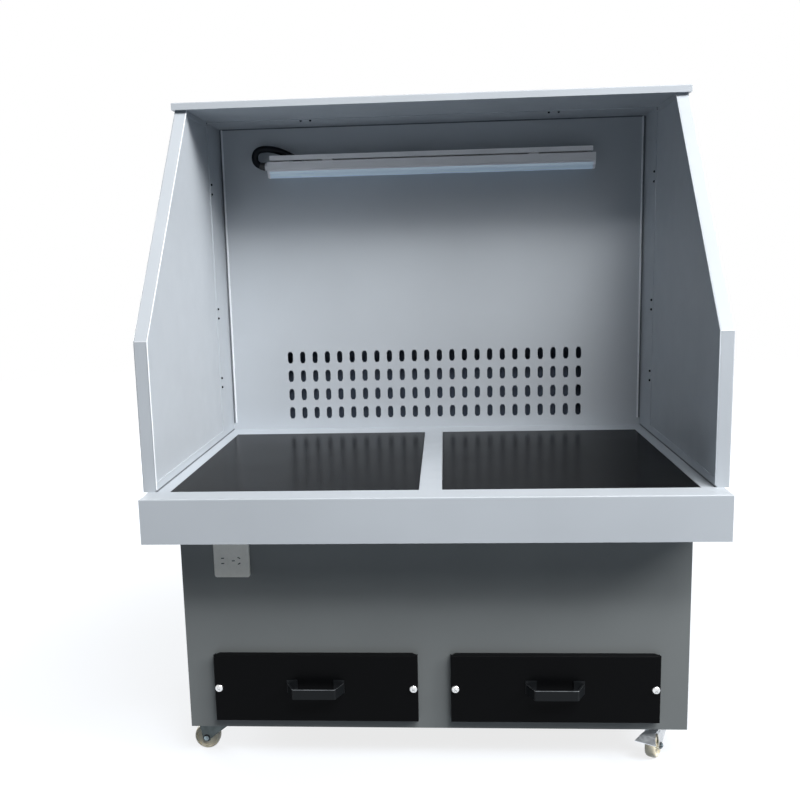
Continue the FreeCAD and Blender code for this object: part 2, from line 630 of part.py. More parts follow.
# Fan motor on its stand; the shaft runs in its bore
SHAFT_R = 9.5
MOTOR_R = 80.0
MOTOR_L = 196.0
MOTOR_FLANGE = (95.0, 6.0)
MOTOR_FOOT = 84.0
motor_x = -casing_x - MOTOR_FLANGE[1]
MOTOR_BASE = (110.0, 120.0, 44.0)
MOTOR_BOX = (70.0, 70.0, 48.0)
MOTOR_MID = 89.0
base_x, base_y = MOTOR_BASE[0] / 2, MOTOR_BASE[1] / 2
box_x, box_y = MOTOR_BOX[0] / 2, MOTOR_BOX[1] / 2
mid_x = motor_x - MOTOR_MID
foot_z = fan_z - MOTOR_FOOT
lid_z = fan_z + MOTOR_R - 20
motor = fuse([many_sided(MOTOR_R, 24, (motor_x - MOTOR_L, fan_y, fan_z), (1, 0, 0), MOTOR_L),
              many_sided(MOTOR_FLANGE[0], 24, (motor_x, fan_y, fan_z), (1, 0, 0), MOTOR_FLANGE[1]),
              box(mid_x - base_x, mid_x + base_x, fan_y - base_y, fan_y + base_y,
                  foot_z, foot_z + MOTOR_BASE[2]),
              box(mid_x - box_x, mid_x + box_x, fan_y - box_y, fan_y + box_y, lid_z, lid_z + MOTOR_BOX[2])])
SHAFT_L = 190.0
BACKPLATE_X = -50.0
SHAFT_REACH = 42.0
shaft_x = BACKPLATE_X + SHAFT_REACH - SHAFT_L
motor = motor.cut(rod(SHAFT_R + RUNNING_GAP, (shaft_x - 2, fan_y, fan_z), (1, 0, 0), SHAFT_L + 20))
save("fan_motor", motor)
STAND_EDGE = 20.0
STAND_SHEET = 4.0
stand_x, stand_y = base_x + STAND_EDGE, base_y + STAND_EDGE
under_y = stand_y - STAND_SHEET
stand = box(mid_x - stand_x, mid_x + stand_x, fan_y - stand_y, fan_y + stand_y, CASTER_H + c, foot_z)
stand = stand.cut(box(mid_x - stand_x - 1, mid_x + stand_x + 1, fan_y - under_y, fan_y + under_y,
                      CASTER_H, foot_z - STAND_SHEET))
save("motor_stand", stand)
BLADES = 8
BLADE_W = 61.0
BLADE_T = 3.0
wheel_parts = [rod(SHAFT_R, (shaft_x, fan_y, fan_z), (1, 0, 0), SHAFT_L),
               many_sided(IMPELLER_R, INLET_SIDES, (BACKPLATE_X, fan_y, fan_z), (1, 0, 0), BLADE_T)]
hoop_x = BACKPLATE_X + BLADE_T + BLADE_W - 1
hoop = many_sided(IMPELLER_R, INLET_SIDES, (hoop_x, fan_y, fan_z), (1, 0, 0), 2)
wheel_parts.append(hoop.cut(many_sided(INLET_R - 2, INLET_SIDES, (hoop_x - 1, fan_y, fan_z), (1, 0, 0), 4)))
for k in range(BLADES):
    blade = Part.makeBox(BLADE_W, IMPELLER_R / 2, BLADE_T, V(BACKPLATE_X + BLADE_T - 0.5, 0, -BLADE_T / 2))
    blade.rotate(V(0, 0, 0), V(1, 0, 0), -35)
    blade.translate(V(0, IMPELLER_R * 0.52, 0))
    blade.rotate(V(0, 0, 0), V(1, 0, 0), k * 360 / BLADES)
    blade.translate(V(0, fan_y, fan_z))
    wheel_parts.append(blade)
save("fan_impeller", fuse(wheel_parts))

# Drawers: folded black front, open tray, bent flat-bar handle and two lock screws
FRONT_SHEET = 2.0
f = FRONT_SHEET
pan_y0 = CABINET_Y - FRONT_PAN
pan_y1 = CABINET_Y - FRONT_GAP
pan = box(DRAWER_IN, DRAWER_OUT, pan_y0, pan_y1, DRAWER_Z0, DRAWER_Z1)
pan = pan.makeFillet(FRONT_BEND, edges_on(pan, lambda p: near(p.y, pan_y0)))
pan = pan.cut(box(DRAWER_IN + f, DRAWER_OUT - f, pan_y0 + f, pan_y1 + 1, DRAWER_Z0 + f, DRAWER_Z1 - f))
CORNER_CLIP = 14.0
for x, step in ((DRAWER_IN, 1), (DRAWER_OUT, -1)):
    clip_z = DRAWER_Z1 - f - 1
    clip = [(x - step, pan_y1 + 1, clip_z), (x + CORNER_CLIP * step, pan_y1 + 1, clip_z),
            (x - step, pan_y1 - CORNER_CLIP, clip_z)]
    pan = pan.cut(prism(clip, (0, 0, f + 2)))
for x in LOCK_X:
    pan = pan.cut(rod(LOCK_SHANK + RUNNING_GAP, (x, pan_y0 - 1, LOCK_Z), (0, 1, 0), f + 2))
tray = box(TRAY_IN, TRAY_OUT, pan_y0 + f, TRAY_REAR, TRAY_Z0, TRAY_Z0 + TRAY_H)
tray = tray.cut(box(TRAY_IN + TRAY_SHEET, TRAY_OUT - TRAY_SHEET, pan_y0 + f + TRAY_SHEET,
                    TRAY_REAR - TRAY_SHEET, TRAY_Z0 + TRAY_SHEET, TRAY_Z0 + TRAY_H + 1))
grip_x = (DRAWER_IN + DRAWER_OUT) / 2
lean = math.atan2(HANDLE_FOOT - HANDLE_GRIP, HANDLE_REACH)
foot_in = HANDLE_FOOT - HANDLE_BAR / math.cos(lean)
grip_in = HANDLE_GRIP - HANDLE_BAR * math.tan((math.pi / 2 - lean) / 2)
reach_y = pan_y0 - HANDLE_REACH
bar_line = [(-HANDLE_FOOT, pan_y0), (-HANDLE_GRIP, reach_y), (HANDLE_GRIP, reach_y), (HANDLE_FOOT, pan_y0),
            (foot_in, pan_y0), (grip_in, reach_y + HANDLE_BAR), (-grip_in, reach_y + HANDLE_BAR),
            (-foot_in, pan_y0)]
handle = prism([(grip_x + x, y, HANDLE_Z - HANDLE_H / 2) for x, y in bar_line], (0, 0, HANDLE_H))
outer_bends = upright_edges(handle, [(grip_x - HANDLE_GRIP, reach_y), (grip_x + HANDLE_GRIP, reach_y)])
handle = handle.makeFillet(1.5 * HANDLE_BAR, outer_bends)
inner_bends = upright_edges(handle, [(grip_x - grip_in, reach_y + HANDLE_BAR),
                                     (grip_x + grip_in, reach_y + HANDLE_BAR)])
handle = handle.makeFillet(0.75 * HANDLE_BAR, inner_bends)
pad_z0 = HANDLE_Z - HANDLE_H / 2
pad_z1 = HANDLE_Z + HANDLE_H / 2 + HANDLE_PAD[2]
pads = []
for x0 in (grip_x - HANDLE_FOOT, grip_x + HANDLE_FOOT - HANDLE_PAD[0]):
    pads.append(box(x0, x0 + HANDLE_PAD[0], pan_y0 - HANDLE_PAD[1], pan_y0, pad_z0, pad_z1))
handle = fuse([handle] + pads)
save("drawer_front_right", pan)
save("drawer_front_left", mirrored(pan))
save("drawer_tray_right", tray)
save("drawer_tray_left", mirrored(tray))
save("drawer_handle_right", handle)
save("drawer_handle_left", mirrored(handle))
PIN_SIDES = 12
HEAD_R = 10.0
HEAD_SKIRT = 3.0
HEAD_H = 7.0
HEAD_CROWN = 6.0
HEAD_GAP = 0.3
SHANK_L = 36.0
head_y = pan_y0 - HEAD_GAP


def lock_screw(x):
    head = flat_sided([(0, head_y - HEAD_H), (HEAD_CROWN, head_y - HEAD_H), (HEAD_R, head_y - HEAD_SKIRT),
                       (HEAD_R, head_y), (0, head_y)], HOLE_SIDES)
    shank = many_sided(LOCK_SHANK, PIN_SIDES, (0, head_y, 0), (0, 1, 0), pan_y0 + SHANK_L - head_y)
    screw = fuse([head, shank])
    screw.translate(V(x, 0, LOCK_Z))
    return screw


for number, x in enumerate((-LOCK_X[1], -LOCK_X[0], LOCK_X[0], LOCK_X[1]), 1):
    save("lock_screw_%d" % number, lock_screw(x))

# Runners: angles from the front sheet to the partition, one under each side of each tray
RUNNER_GAP = 0.3
RUNNER_SIDE_GAP = 1.0
RUNNER_SHELF = 25.0
RUNNER_WALL = 30.0
runner_z = TRAY_Z0 - RUNNER_GAP
runners = []
for edge, outward in ((TRAY_IN, -1), (TRAY_OUT, 1)):
    wall = sorted((edge + RUNNER_SIDE_GAP * outward, edge + (RUNNER_SIDE_GAP + c) * outward))
    shelf = sorted((edge + (RUNNER_SIDE_GAP + c) * outward, edge - RUNNER_SHELF * outward))
    angle = fuse([box(shelf[0], shelf[1], cab_y0, PARTITION_Y, runner_z - c, runner_z),
                  box(wall[0], wall[1], cab_y0, PARTITION_Y, runner_z, runner_z + RUNNER_WALL)])
    runners += [angle, mirrored(angle)]
save("drawer_runners", Part.makeCompound(runners))


# Casters: fixed top plate, swivel fork with axle, nylon wheel; the right pair has brake pedals
def swivelled(shape, x, y, turn):
    placed = shape.copy()
    placed.rotate(V(0, 0, 0), V(0, 0, 1), turn)
    placed.translate(V(x, y, 0))
    return placed


MOUNT = (76.0, 62.0)
MOUNT_T = 3.0
RACE_R = (22.0, 27.0)
RACE_H = 10.0
SWIVEL_GAP = 0.5
WEB_T = 3.5
KING_R = 5.0
KING_HEAD = (9.0, 3.5)
LEG_IN = 15.0
LEG_T = 2.5
leg_out = LEG_IN + LEG_T
race_z = CASTER_H - MOUNT_T - RACE_H
web_z = race_z - SWIVEL_GAP
king_z = web_z - WEB_T - SWIVEL_GAP - KING_HEAD[1]
mount = box(-MOUNT[0] / 2, MOUNT[0] / 2, -MOUNT[1] / 2, MOUNT[1] / 2, CASTER_H - MOUNT_T, CASTER_H)
race = flat_sided([(0, 0), (RACE_R[0], 0), (RACE_R[1], RACE_H), (0, RACE_H)], HOLE_SIDES)
race.rotate(V(0, 0, 0), V(1, 0, 0), 90)
race.translate(V(0, 0, race_z))
mount = fuse([mount, race,
              rod(KING_R, (0, 0, king_z), (0, 0, 1), race_z - king_z),
              many_sided(KING_HEAD[0], 6, (0, 0, king_z), (0, 0, 1), KING_HEAD[1])])
LEG_FRONT = -22.0
LEG_EYE = 11.0
APRON_DROP = 17.5
leg_line = [(LEG_FRONT, web_z), (TRAIL + 14, web_z), (TRAIL + 17, web_z - 13.5),
            (TRAIL + 11.5, WHEEL_R + 11.5)]
for k in range(7):
    a = math.radians(10 - 30 * k)
    leg_line.append((TRAIL + LEG_EYE * math.cos(a), WHEEL_R + LEG_EYE * math.sin(a)))
leg_line.append((LEG_FRONT, web_z - APRON_DROP))
near_leg = prism([(x, -leg_out, z) for x, z in leg_line], (0, LEG_T, 0))
far_leg = prism([(x, LEG_IN, z) for x, z in leg_line], (0, LEG_T, 0))
web = fuse([box(LEG_FRONT, TRAIL, -leg_out, leg_out, web_z - WEB_T, web_z),
            many_sided(RACE_R[0] + 3, HOLE_SIDES, (0, 0, web_z - WEB_T), (0, 0, 1), WEB_T)])
fork_front = box(LEG_FRONT, LEG_FRONT + LEG_T, -leg_out, leg_out, web_z - APRON_DROP, web_z)
AXLE_NUT = (6.5, 4.0)
nuts = [many_sided(AXLE_NUT[0], 6, (TRAIL, y, WHEEL_R), (0, 1, 0), AXLE_NUT[1])
        for y in (-leg_out - AXLE_NUT[1], leg_out)]
axle = many_sided(AXLE_R, PIN_SIDES, (TRAIL, -leg_out, WHEEL_R), (0, 1, 0), 2 * leg_out)
fork = fuse([near_leg, far_leg, web, fork_front, axle] + nuts)
fork = fork.cut(rod(KING_R + RUNNING_GAP, (0, 0, web_z - WEB_T - 1), (0, 0, 1), WEB_T + 2))
PEDAL_PIN_R = 3.0
pin_x = TRAIL + 9.0
pin_z = web_z - 8.5
brake_fork = fork.cut(rod(PEDAL_PIN_R + RUNNING_GAP, (pin_x, -30, pin_z), (0, 1, 0), 60))

# Wheel outline from the bore to the tread, turned about the axle
HUB_GAP = 0.5
rim = WHEEL_W / 2
HUB_R = 10.0
SHOULDER = (3.0, 5.0)
WHEEL_SIDES = 28
half = [(0, LEG_IN - HUB_GAP), (HUB_R, LEG_IN - HUB_GAP), (HUB_R, rim), (WHEEL_R - SHOULDER[0], rim),
        (WHEEL_R, rim - SHOULDER[1])]
wheel = flat_sided([(r, -w) for r, w in half] + half[::-1], WHEEL_SIDES)
wheel = wheel.cut(rod(AXLE_R + RUNNING_GAP, (0, -LEG_IN, 0), (0, 1, 0), 2 * LEG_IN))
wheel.translate(V(TRAIL, 0, WHEEL_R))

# Brake pedal: bent sheet over the wheel, with ears on the pin and a shoe above the tread
tread = [(-2, 5.5), (14, 3.5), (35, 0), (58, -8), (57.2, -10), (34.6, -2.4), (13.6, 1), (-2.6, 2.6)]
tread = [(pin_x + x, pin_z + z) for x, z in tread]
pedal = prism([(x, -13, z) for x, z in tread], (0, 26, 0))
flare = prism([(pin_x + 19, -13, 0), (pin_x + 19, 13, 0), (pin_x + 59, 26, 0), (pin_x + 59, -26, 0)],
              (0, 0, CASTER_H))
wide = prism([(x, -26, z) for x, z in tread], (0, 52, 0)).common(flare)
shoe = box(pin_x + 10, pin_x + 13.5, -8, 8, pin_z - 11.6, pin_z + 3)
ears = [box(pin_x - 5, pin_x + 5, y, y + 2, pin_z - 4, pin_z + 3) for y in (-14, 12)]
pin = many_sided(PEDAL_PIN_R, PIN_SIDES, (pin_x, -leg_out - 1.5, pin_z), (0, 1, 0), 2 * leg_out + 3)
pedal = fuse([pedal, wide, shoe, pin] + ears)

places = {"front_left": (-KING_X, KING_Y[0], LEFT_TRAIL_DEG),
          "front_right": (KING_X, KING_Y[0], RIGHT_TRAIL_DEG),
          "rear_left": (-KING_X, KING_Y[1], LEFT_TRAIL_DEG),
          "rear_right": (KING_X, KING_Y[1], RIGHT_TRAIL_DEG)}
mounts = []
for corner, (x, y, turn) in places.items():
    braked = corner.endswith("right")
    mounts.append(swivelled(mount, x, y, 0))
    save("caster_fork_" + corner, swivelled(brake_fork if braked else fork, x, y, turn))
    save("caster_wheel_" + corner, swivelled(wheel, x, y, turn))
    if braked:
        save("brake_pedal_" + corner, swivelled(pedal, x, y, turn))
save("caster_plates", Part.makeCompound(mounts))
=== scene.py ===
import math

import bmesh
import bpy
from mathutils import Matrix, Vector


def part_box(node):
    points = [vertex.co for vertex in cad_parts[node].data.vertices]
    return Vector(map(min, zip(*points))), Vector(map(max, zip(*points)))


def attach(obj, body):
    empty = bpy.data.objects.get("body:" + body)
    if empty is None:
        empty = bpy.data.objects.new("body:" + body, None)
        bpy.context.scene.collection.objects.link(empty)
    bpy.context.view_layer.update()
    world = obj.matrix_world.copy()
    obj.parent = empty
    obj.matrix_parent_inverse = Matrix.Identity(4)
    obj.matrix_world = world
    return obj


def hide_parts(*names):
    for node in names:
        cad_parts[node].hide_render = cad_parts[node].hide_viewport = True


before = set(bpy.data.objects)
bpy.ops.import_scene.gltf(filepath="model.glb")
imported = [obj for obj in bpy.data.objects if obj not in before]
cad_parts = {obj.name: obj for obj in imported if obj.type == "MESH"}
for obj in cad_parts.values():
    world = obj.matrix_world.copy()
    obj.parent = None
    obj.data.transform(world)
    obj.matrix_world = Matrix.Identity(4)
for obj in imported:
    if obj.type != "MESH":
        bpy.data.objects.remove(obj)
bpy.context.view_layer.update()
bpy.context.scene.view_settings.view_transform = "Standard"


# Caster plates and forks: pressed mild steel with zinc plate, one set under each corner of the cabinet.
# A king pin riveted through the plate carries the fork, so the wheel trails behind it.
# The plates and the right-hand forks show the zinc's own colour, and the left-hand forks carry a darker copy
# of it, which is painted shade and dark reflection.


def new_finish(name, colour, rough, metal=0.0, specular=0.5):
    """A finish whose even values stand on its shader."""
    finish = bpy.data.materials.new(name)
    finish.use_nodes = True
    shader = finish.node_tree.nodes["Principled BSDF"]
    shader.inputs["Base Color"].default_value = (*colour, 1)
    shader.inputs["Roughness"].default_value = rough
    shader.inputs["Metallic"].default_value = metal
    shader.inputs["Specular IOR Level"].default_value = specular
    return finish


def patches(finish, size, detail=2.0, stretch=(1, 1, 1)):
    """Soft random patches of about that size in metres, fixed to the piece."""
    tree = finish.node_tree
    place = tree.nodes.new("ShaderNodeTexCoord")
    scale = tree.nodes.new("ShaderNodeMapping")
    scale.inputs["Scale"].default_value = [k / size for k in stretch]
    noise = tree.nodes.new("ShaderNodeTexNoise")
    noise.inputs["Scale"].default_value = 1
    noise.inputs["Detail"].default_value = detail
    tree.links.new(place.outputs["Object"], scale.inputs["Vector"])
    tree.links.new(scale.outputs["Vector"], noise.inputs["Vector"])
    return noise.outputs["Fac"]


def drift_colour(finish, field, one, other, start=0.32, end=0.68):
    """The colour goes from one shade to the other across the patches."""
    tree = finish.node_tree
    ramp = tree.nodes.new("ShaderNodeValToRGB")
    ramp.color_ramp.elements[0].position = start
    ramp.color_ramp.elements[0].color = (*one, 1)
    ramp.color_ramp.elements[1].position = end
    ramp.color_ramp.elements[1].color = (*other, 1)
    tree.links.new(field, ramp.inputs["Fac"])
    tree.links.new(ramp.outputs["Color"], tree.nodes["Principled BSDF"].inputs["Base Color"])


def drift_gloss(finish, field, low, high, start=0.3, end=0.7):
    """The roughness goes from low to high across the patches."""
    tree = finish.node_tree
    span = tree.nodes.new("ShaderNodeMapRange")
    span.inputs["From Min"].default_value = start
    span.inputs["From Max"].default_value = end
    span.inputs["To Min"].default_value = low
    span.inputs["To Max"].default_value = high
    tree.links.new(field, span.inputs["Value"])
    tree.links.new(span.outputs["Result"], tree.nodes["Principled BSDF"].inputs["Roughness"])


def raise_skin(finish, field, height):
    """The patches stand up from the surface by that height in metres."""
    tree = finish.node_tree
    normal = tree.nodes["Principled BSDF"].inputs["Normal"]
    bump = tree.nodes.new("ShaderNodeBump")
    bump.inputs["Distance"].default_value = height
    tree.links.new(field, bump.inputs["Height"])
    if normal.is_linked:
        tree.links.new(normal.links[0].from_socket, bump.inputs["Normal"])
    tree.links.new(bump.outputs["Normal"], normal)


def dress(finish, *names):
    """Puts a finish on CAD pieces, in every slot that they have."""
    for name in names:
        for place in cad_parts[name].material_slots:
            place.material = finish


def plated(name, pale, dark, low, high, marks=0.00002):
    """Plate on steel: metal with cloudy colour and gloss, and the fine marks of pressing."""
    cloud, smear, grain = 0.02, 0.008, 0.0015
    finish = new_finish(name, pale, low, metal=1.0)
    drift_colour(finish, patches(finish, cloud), dark, pale)
    drift_gloss(finish, patches(finish, smear), low, high)
    raise_skin(finish, patches(finish, grain), marks)
    return finish


zinc = plated("zinc_plate", (0.66, 0.67, 0.68), (0.5, 0.52, 0.54), 0.2, 0.38)
dress(zinc, "caster_plates", "caster_fork_front_right", "caster_fork_rear_right")
# Left-hand forks: the same zinc made darker, as painted shade and dark reflection.
shade_painted_zinc = plated("shade_painted_zinc", (0.085, 0.1, 0.103), (0.055, 0.066, 0.068), 0.3, 0.45)
dress(shade_painted_zinc, "caster_fork_front_left", "caster_fork_rear_left")

# Brake pedals of the right-hand casters: bent steel, polished and chromed, on a pin through the fork.
# The toe widens to take a shoe.
chrome = plated("chrome", (0.8, 0.83, 0.86), (0.68, 0.71, 0.75), 0.4, 0.5, marks=0.000002)
dress(chrome, "brake_pedal_front_right", "brake_pedal_rear_right")

# Wheels: turned from natural cream nylon, with a rounded tread, a web sunk between tread and hub,
# and a plain bore that runs on the fork's axle.
nylon = new_finish("cream_nylon", (0.82, 0.76, 0.6), 0.4)
nylon_shader = nylon.node_tree.nodes["Principled BSDF"]
nylon_shader.inputs["Subsurface Weight"].default_value = 0.12
nylon_shader.inputs["Subsurface Radius"].default_value = (0.006, 0.005, 0.003)
drift_colour(nylon, patches(nylon, 0.012, 4), (0.7, 0.63, 0.46), (0.86, 0.81, 0.66))
drift_gloss(nylon, patches(nylon, 0.004), 0.32, 0.5)
raise_skin(nylon, patches(nylon, 0.0012), 0.00003)


def turned(shape, outline, centre, axis, steps, bored=False):
    """Turns an outline of (radius, distance along the axis) about the axis, into a mesh being made."""
    turn = Vector((0, 0, 1)).rotation_difference(Vector(axis)).to_matrix()
    rings = []
    for radius, along in outline:
        ring = []
        for k in range(steps if radius > 0 else 1):
            a = 2 * math.pi * k / steps
            point = Vector((radius * math.cos(a), radius * math.sin(a), along))
            ring.append(shape.verts.new(Vector(centre) + turn @ point))
        rings.append(ring)
    if bored:
        rings.append(rings[0])
    for ring, following in zip(rings, rings[1:]):
        for k in range(steps):
            corners = []
            for row, column in ((ring, k), (ring, k + 1), (following, k + 1), (following, k)):
                corner = row[column % len(row)]
                if corner not in corners:
                    corners.append(corner)
            shape.faces.new(corners)


def smooth(mesh, sharp=38):
    """Shades a mesh smooth, but for edges that bend by more than sharp degrees."""
    mesh.shade_smooth()
    mesh.set_sharp_from_angle(angle=math.radians(sharp))


def make_piece(name, shape, finish, body, sharp=38):
    """Turns a made mesh into a piece of the object, smooth but for its sharp edges."""
    bmesh.ops.recalc_face_normals(shape, faces=shape.faces)
    mesh = bpy.data.meshes.new(name)
    shape.to_mesh(mesh)
    shape.free()
    smooth(mesh, sharp)
    mesh.materials.append(finish)
    piece = bpy.data.objects.new(name, mesh)
    bpy.context.scene.collection.objects.link(piece)
    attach(piece, body)
    return piece


def middle(node):
    """The middle of a CAD node's box."""
    low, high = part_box(node)
    return (low + high) / 2


def axle_of(corner):
    """The direction of a caster's axle, square to the way that its fork trails."""
    turn = math.radians(TRAIL_DEG[corner.split("_")[1]])
    return Vector((-math.sin(turn), math.cos(turn), 0))


CORNERS = ("front_left", "front_right", "rear_left", "rear_right")
TRAIL_DEG = {"left": 180, "right": 240}
TREAD_R = 0.0325
# One half of the wheel's section from the bore to the tread, as (radius, distance from the wheel's middle)
HALF_WHEEL = ((0.0041, 0.0145), (0.0092, 0.0145), (0.0098, 0.0138), (0.0104, 0.0095), (0.0125, 0.0088),
              (0.0235, 0.0088), (0.0252, 0.0098), (0.0258, 0.0125), (0.0268, 0.013), (0.0288, 0.0127),
              (0.0306, 0.0113), (0.0319, 0.0085), (0.03242, 0.0045))
wheel_outline = [*HALF_WHEEL, (TREAD_R, 0)]
wheel_outline += [(radius, -distance) for radius, distance in reversed(HALF_WHEEL)]
for corner in CORNERS:
    shape = bmesh.new()
    turned(shape, wheel_outline, middle("caster_wheel_" + corner), axle_of(corner), steps=56, bored=True)
    wheel = make_piece("wheel_" + corner, shape, nylon, "wheel_" + corner)
    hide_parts("caster_wheel_" + corner)

# Bolts of the caster plates: four zinc-plated hexagon heads under each plate, just inside its corners,
# that hold it up against the cabinet's floor.


def hexagon_head(shape, place, axis, across, height):
    """A six-sided bolt head with a chamfered top."""
    r = across / math.sqrt(3)
    side_height, flat_r = 0.8 * height, 0.86 * r
    turned(shape, [(0, 0), (r, 0), (r, side_height), (flat_r, height), (0, height)], place, axis, steps=6)


def pan_head(shape, place, axis, radius, height, steps=20):
    """A low domed screw head."""
    outline = [(0, 0), (radius, 0), (radius, 0.3 * height), (0.93 * radius, 0.62 * height),
               (0.74 * radius, 0.87 * height), (0.45 * radius, 0.98 * height), (0, height)]
    turned(shape, outline, place, axis, steps=steps)


PLATE_T = 0.003
KING_X = {"left": -0.552, "right": 0.552}
KING_Y = {"front": -0.262, "rear": 0.398}
BOLT_OUT_X, BOLT_OUT_Y = 0.031, 0.024
BOLT_ACROSS, BOLT_H = 0.01, 0.0045
plates_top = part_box("caster_plates")[1].z
bolts = bmesh.new()
for corner in CORNERS:
    end, side = corner.split("_")
    for dx in (-BOLT_OUT_X, BOLT_OUT_X):
        for dy in (-BOLT_OUT_Y, BOLT_OUT_Y):
            seat = (KING_X[side] + dx, KING_Y[end] + dy, plates_top - PLATE_T)
            hexagon_head(bolts, seat, (0, 0, -1), BOLT_ACROSS, BOLT_H)
make_piece("caster_bolts", bolts, zinc, "table", sharp=20)

# Axle nuts: zinc-plated hexagons with the axle's end standing out, over near-black washers that are painted
# shade around each nut, one at each end of a caster's axle against the fork's legs.
# Near-black finish for the axle washers and the socket's pin holes: painted shade.
shade_black = new_finish("shade_black", (0.012, 0.014, 0.016), 0.4, specular=0.2)
drift_gloss(shade_black, patches(shade_black, 0.003), 0.34, 0.5)
raise_skin(shade_black, patches(shade_black, 0.0008), 0.00002)
# Axle nuts: a bluish zinc whose strong pale and dark patches are partly painted highlight, standing for
# scattered glints on the faces.
nut_zinc_and_glints = plated("nut_zinc_and_glints", (0.42, 0.52, 0.56), (0.1, 0.125, 0.14), 0.14, 0.3)
LEG_FACE = 0.0175
NUT_ACROSS, NUT_H = 0.0122, 0.0046
AXLE_END_R, AXLE_END_H = 0.0036, 0.0016
WASHER_R, WASHER_T, WASHER_EASE = 0.0086, 0.0009, 0.0004
WASHER_SINK = 0.0002
washer_outline = [(0, -WASHER_SINK), (WASHER_R, -WASHER_SINK), (WASHER_R, WASHER_T - WASHER_EASE / 2),
                  (WASHER_R - WASHER_EASE, WASHER_T), (0, WASHER_T)]
for corner in CORNERS:
    nuts = bmesh.new()
    washers = bmesh.new()
    for way in (axle_of(corner), -axle_of(corner)):
        face = middle("caster_wheel_" + corner) + LEG_FACE * way
        hexagon_head(nuts, face, way, NUT_ACROSS, NUT_H)
        pan_head(nuts, face + NUT_H * way, way, AXLE_END_R, AXLE_END_H, steps=16)
        turned(washers, washer_outline, face, way, steps=28)
    make_piece("axle_nuts_" + corner, nuts, nut_zinc_and_glints, "fork_" + corner, sharp=20)
    make_piece("axle_washers_" + corner, washers, shade_black, "fork_" + corner)

# Cabinet: dark grey folded sheet steel with baked powder paint. The front sheet wraps over the sides,
# and a louvred hatch behind gives access to the fan.


def powder_coat(name, colour, low, high, specular=0.5):
    """Baked powder paint: orange peel a few millimetres across over slightly wavy sheet."""
    tone, cloud, wave, peel = 0.35, 0.06, 0.3, 0.0026
    wave_height, peel_height = 0.0006, 0.00005
    darker, paler = [0.965 * c for c in colour], [1.03 * c for c in colour]
    finish = new_finish(name, colour, low, specular=specular)
    drift_colour(finish, patches(finish, tone, 3), darker, paler)
    drift_gloss(finish, patches(finish, cloud, 4), low, high)
    raise_skin(finish, patches(finish, wave, 1), wave_height)
    raise_skin(finish, patches(finish, peel), peel_height)
    return finish


dark_grey = powder_coat("dark_grey_coat", (0.174, 0.188, 0.19), 0.42, 0.54, specular=0.3)
dress(dark_grey, "cabinet_shell", "cabinet_front", "cabinet_rear", "rear_panel")

# Screws of the hatch: small pan heads with a cross recess, of zinc-plated steel,
# driven through the hatch's edges into the cabinet's rear sheet.


def cross_bars(shape, place, axis, reach, width, top, deep):
    """Two crossed tapered bars that stand in a screw head, to be cut out of it."""
    taper = 0.45
    axis = Vector(axis)
    side = axis.orthogonal().normalized()
    other = axis.cross(side)
    for along, across in ((side, other), (other, side)):
        rows = []
        for height, share in ((top, 1.0), (deep, taper)):
            row = []
            for u, v in ((-1, -0.5), (1, -0.5), (1, 0.5), (-1, 0.5)):
                point = Vector(place) + axis * height + along * (share * reach * u)
                row.append(shape.verts.new(point + across * (width * v)))
            rows.append(row)
        shape.faces.new(rows[0])
        shape.faces.new(reversed(rows[1]))
        for k in range(4):
            shape.faces.new((rows[0][k], rows[1][k], rows[1][k - 3], rows[0][k - 3]))


def cut_out(piece, cutters):
    """Cuts the made mesh of cutters out of a piece."""
    bmesh.ops.recalc_face_normals(cutters, faces=cutters.faces)
    tool_mesh = bpy.data.meshes.new("cutting_tool")
    cutters.to_mesh(tool_mesh)
    cutters.free()
    tool = bpy.data.objects.new("cutting_tool", tool_mesh)
    bpy.context.scene.collection.objects.link(tool)
    cut = piece.modifiers.new("cut", "BOOLEAN")
    cut.operation = "DIFFERENCE"
    cut.solver = "EXACT"
    cut.use_self = True
    cut.object = tool
    bpy.context.view_layer.update()
    seen = piece.evaluated_get(bpy.context.evaluated_depsgraph_get())
    mesh = bpy.data.meshes.new_from_object(seen)
    piece.modifiers.clear()
    piece.data = mesh
    smooth(mesh)
    bpy.data.objects.remove(tool)


def cross_screws(name, places, radius, height, finish, body):
    """One piece of like screws: places are (point on the sheet, direction that the head stands)."""
    heads = bmesh.new()
    crosses = bmesh.new()
    for place, axis in places:
        pan_head(heads, place, axis, radius, height)
        cross_bars(crosses, place, axis, 0.55 * radius, 0.2 * radius, 1.2 * height, 0.35 * height)
    screws = make_piece(name, heads, finish, body)
    cut_out(screws, crosses)
    return screws


HATCH_SCREW_R, HATCH_SCREW_H = 0.0045, 0.0026
SIDE_INSET, END_INSET = 0.012, 0.01
GAPS_IN_ROW = 4
hatch_low, hatch_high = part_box("rear_panel")
row_length = hatch_high.x - hatch_low.x - 2 * SIDE_INSET
places = []
for k in range(GAPS_IN_ROW + 1):
    x = hatch_low.x + SIDE_INSET + row_length * k / GAPS_IN_ROW
    for z in (hatch_low.z + END_INSET, hatch_high.z - END_INSET):
        places.append(((x, hatch_high.y, z), (0, 1, 0)))
for x in (hatch_low.x + SIDE_INSET, hatch_high.x - SIDE_INSET):
    places.append(((x, hatch_high.y, (hatch_low.z + hatch_high.z) / 2), (0, 1, 0)))
cross_screws("hatch_screws", places, HATCH_SCREW_R, HATCH_SCREW_H, zinc, "table")

# Cable gland, socket box and lead grommet: moulded black nylon. The gland is a nut on a threaded neck
# in the cabinet's rear, the box is behind the socket, and the grommet lines the lamp lead's hole.
black_moulding = new_finish("black_moulding", (0.03, 0.031, 0.033), 0.4)
drift_gloss(black_moulding, patches(black_moulding, 0.006), 0.34, 0.5)
raise_skin(black_moulding, patches(black_moulding, 0.0009), 0.00003)
dress(black_moulding, "mains_gland", "socket_box", "lead_grommet")

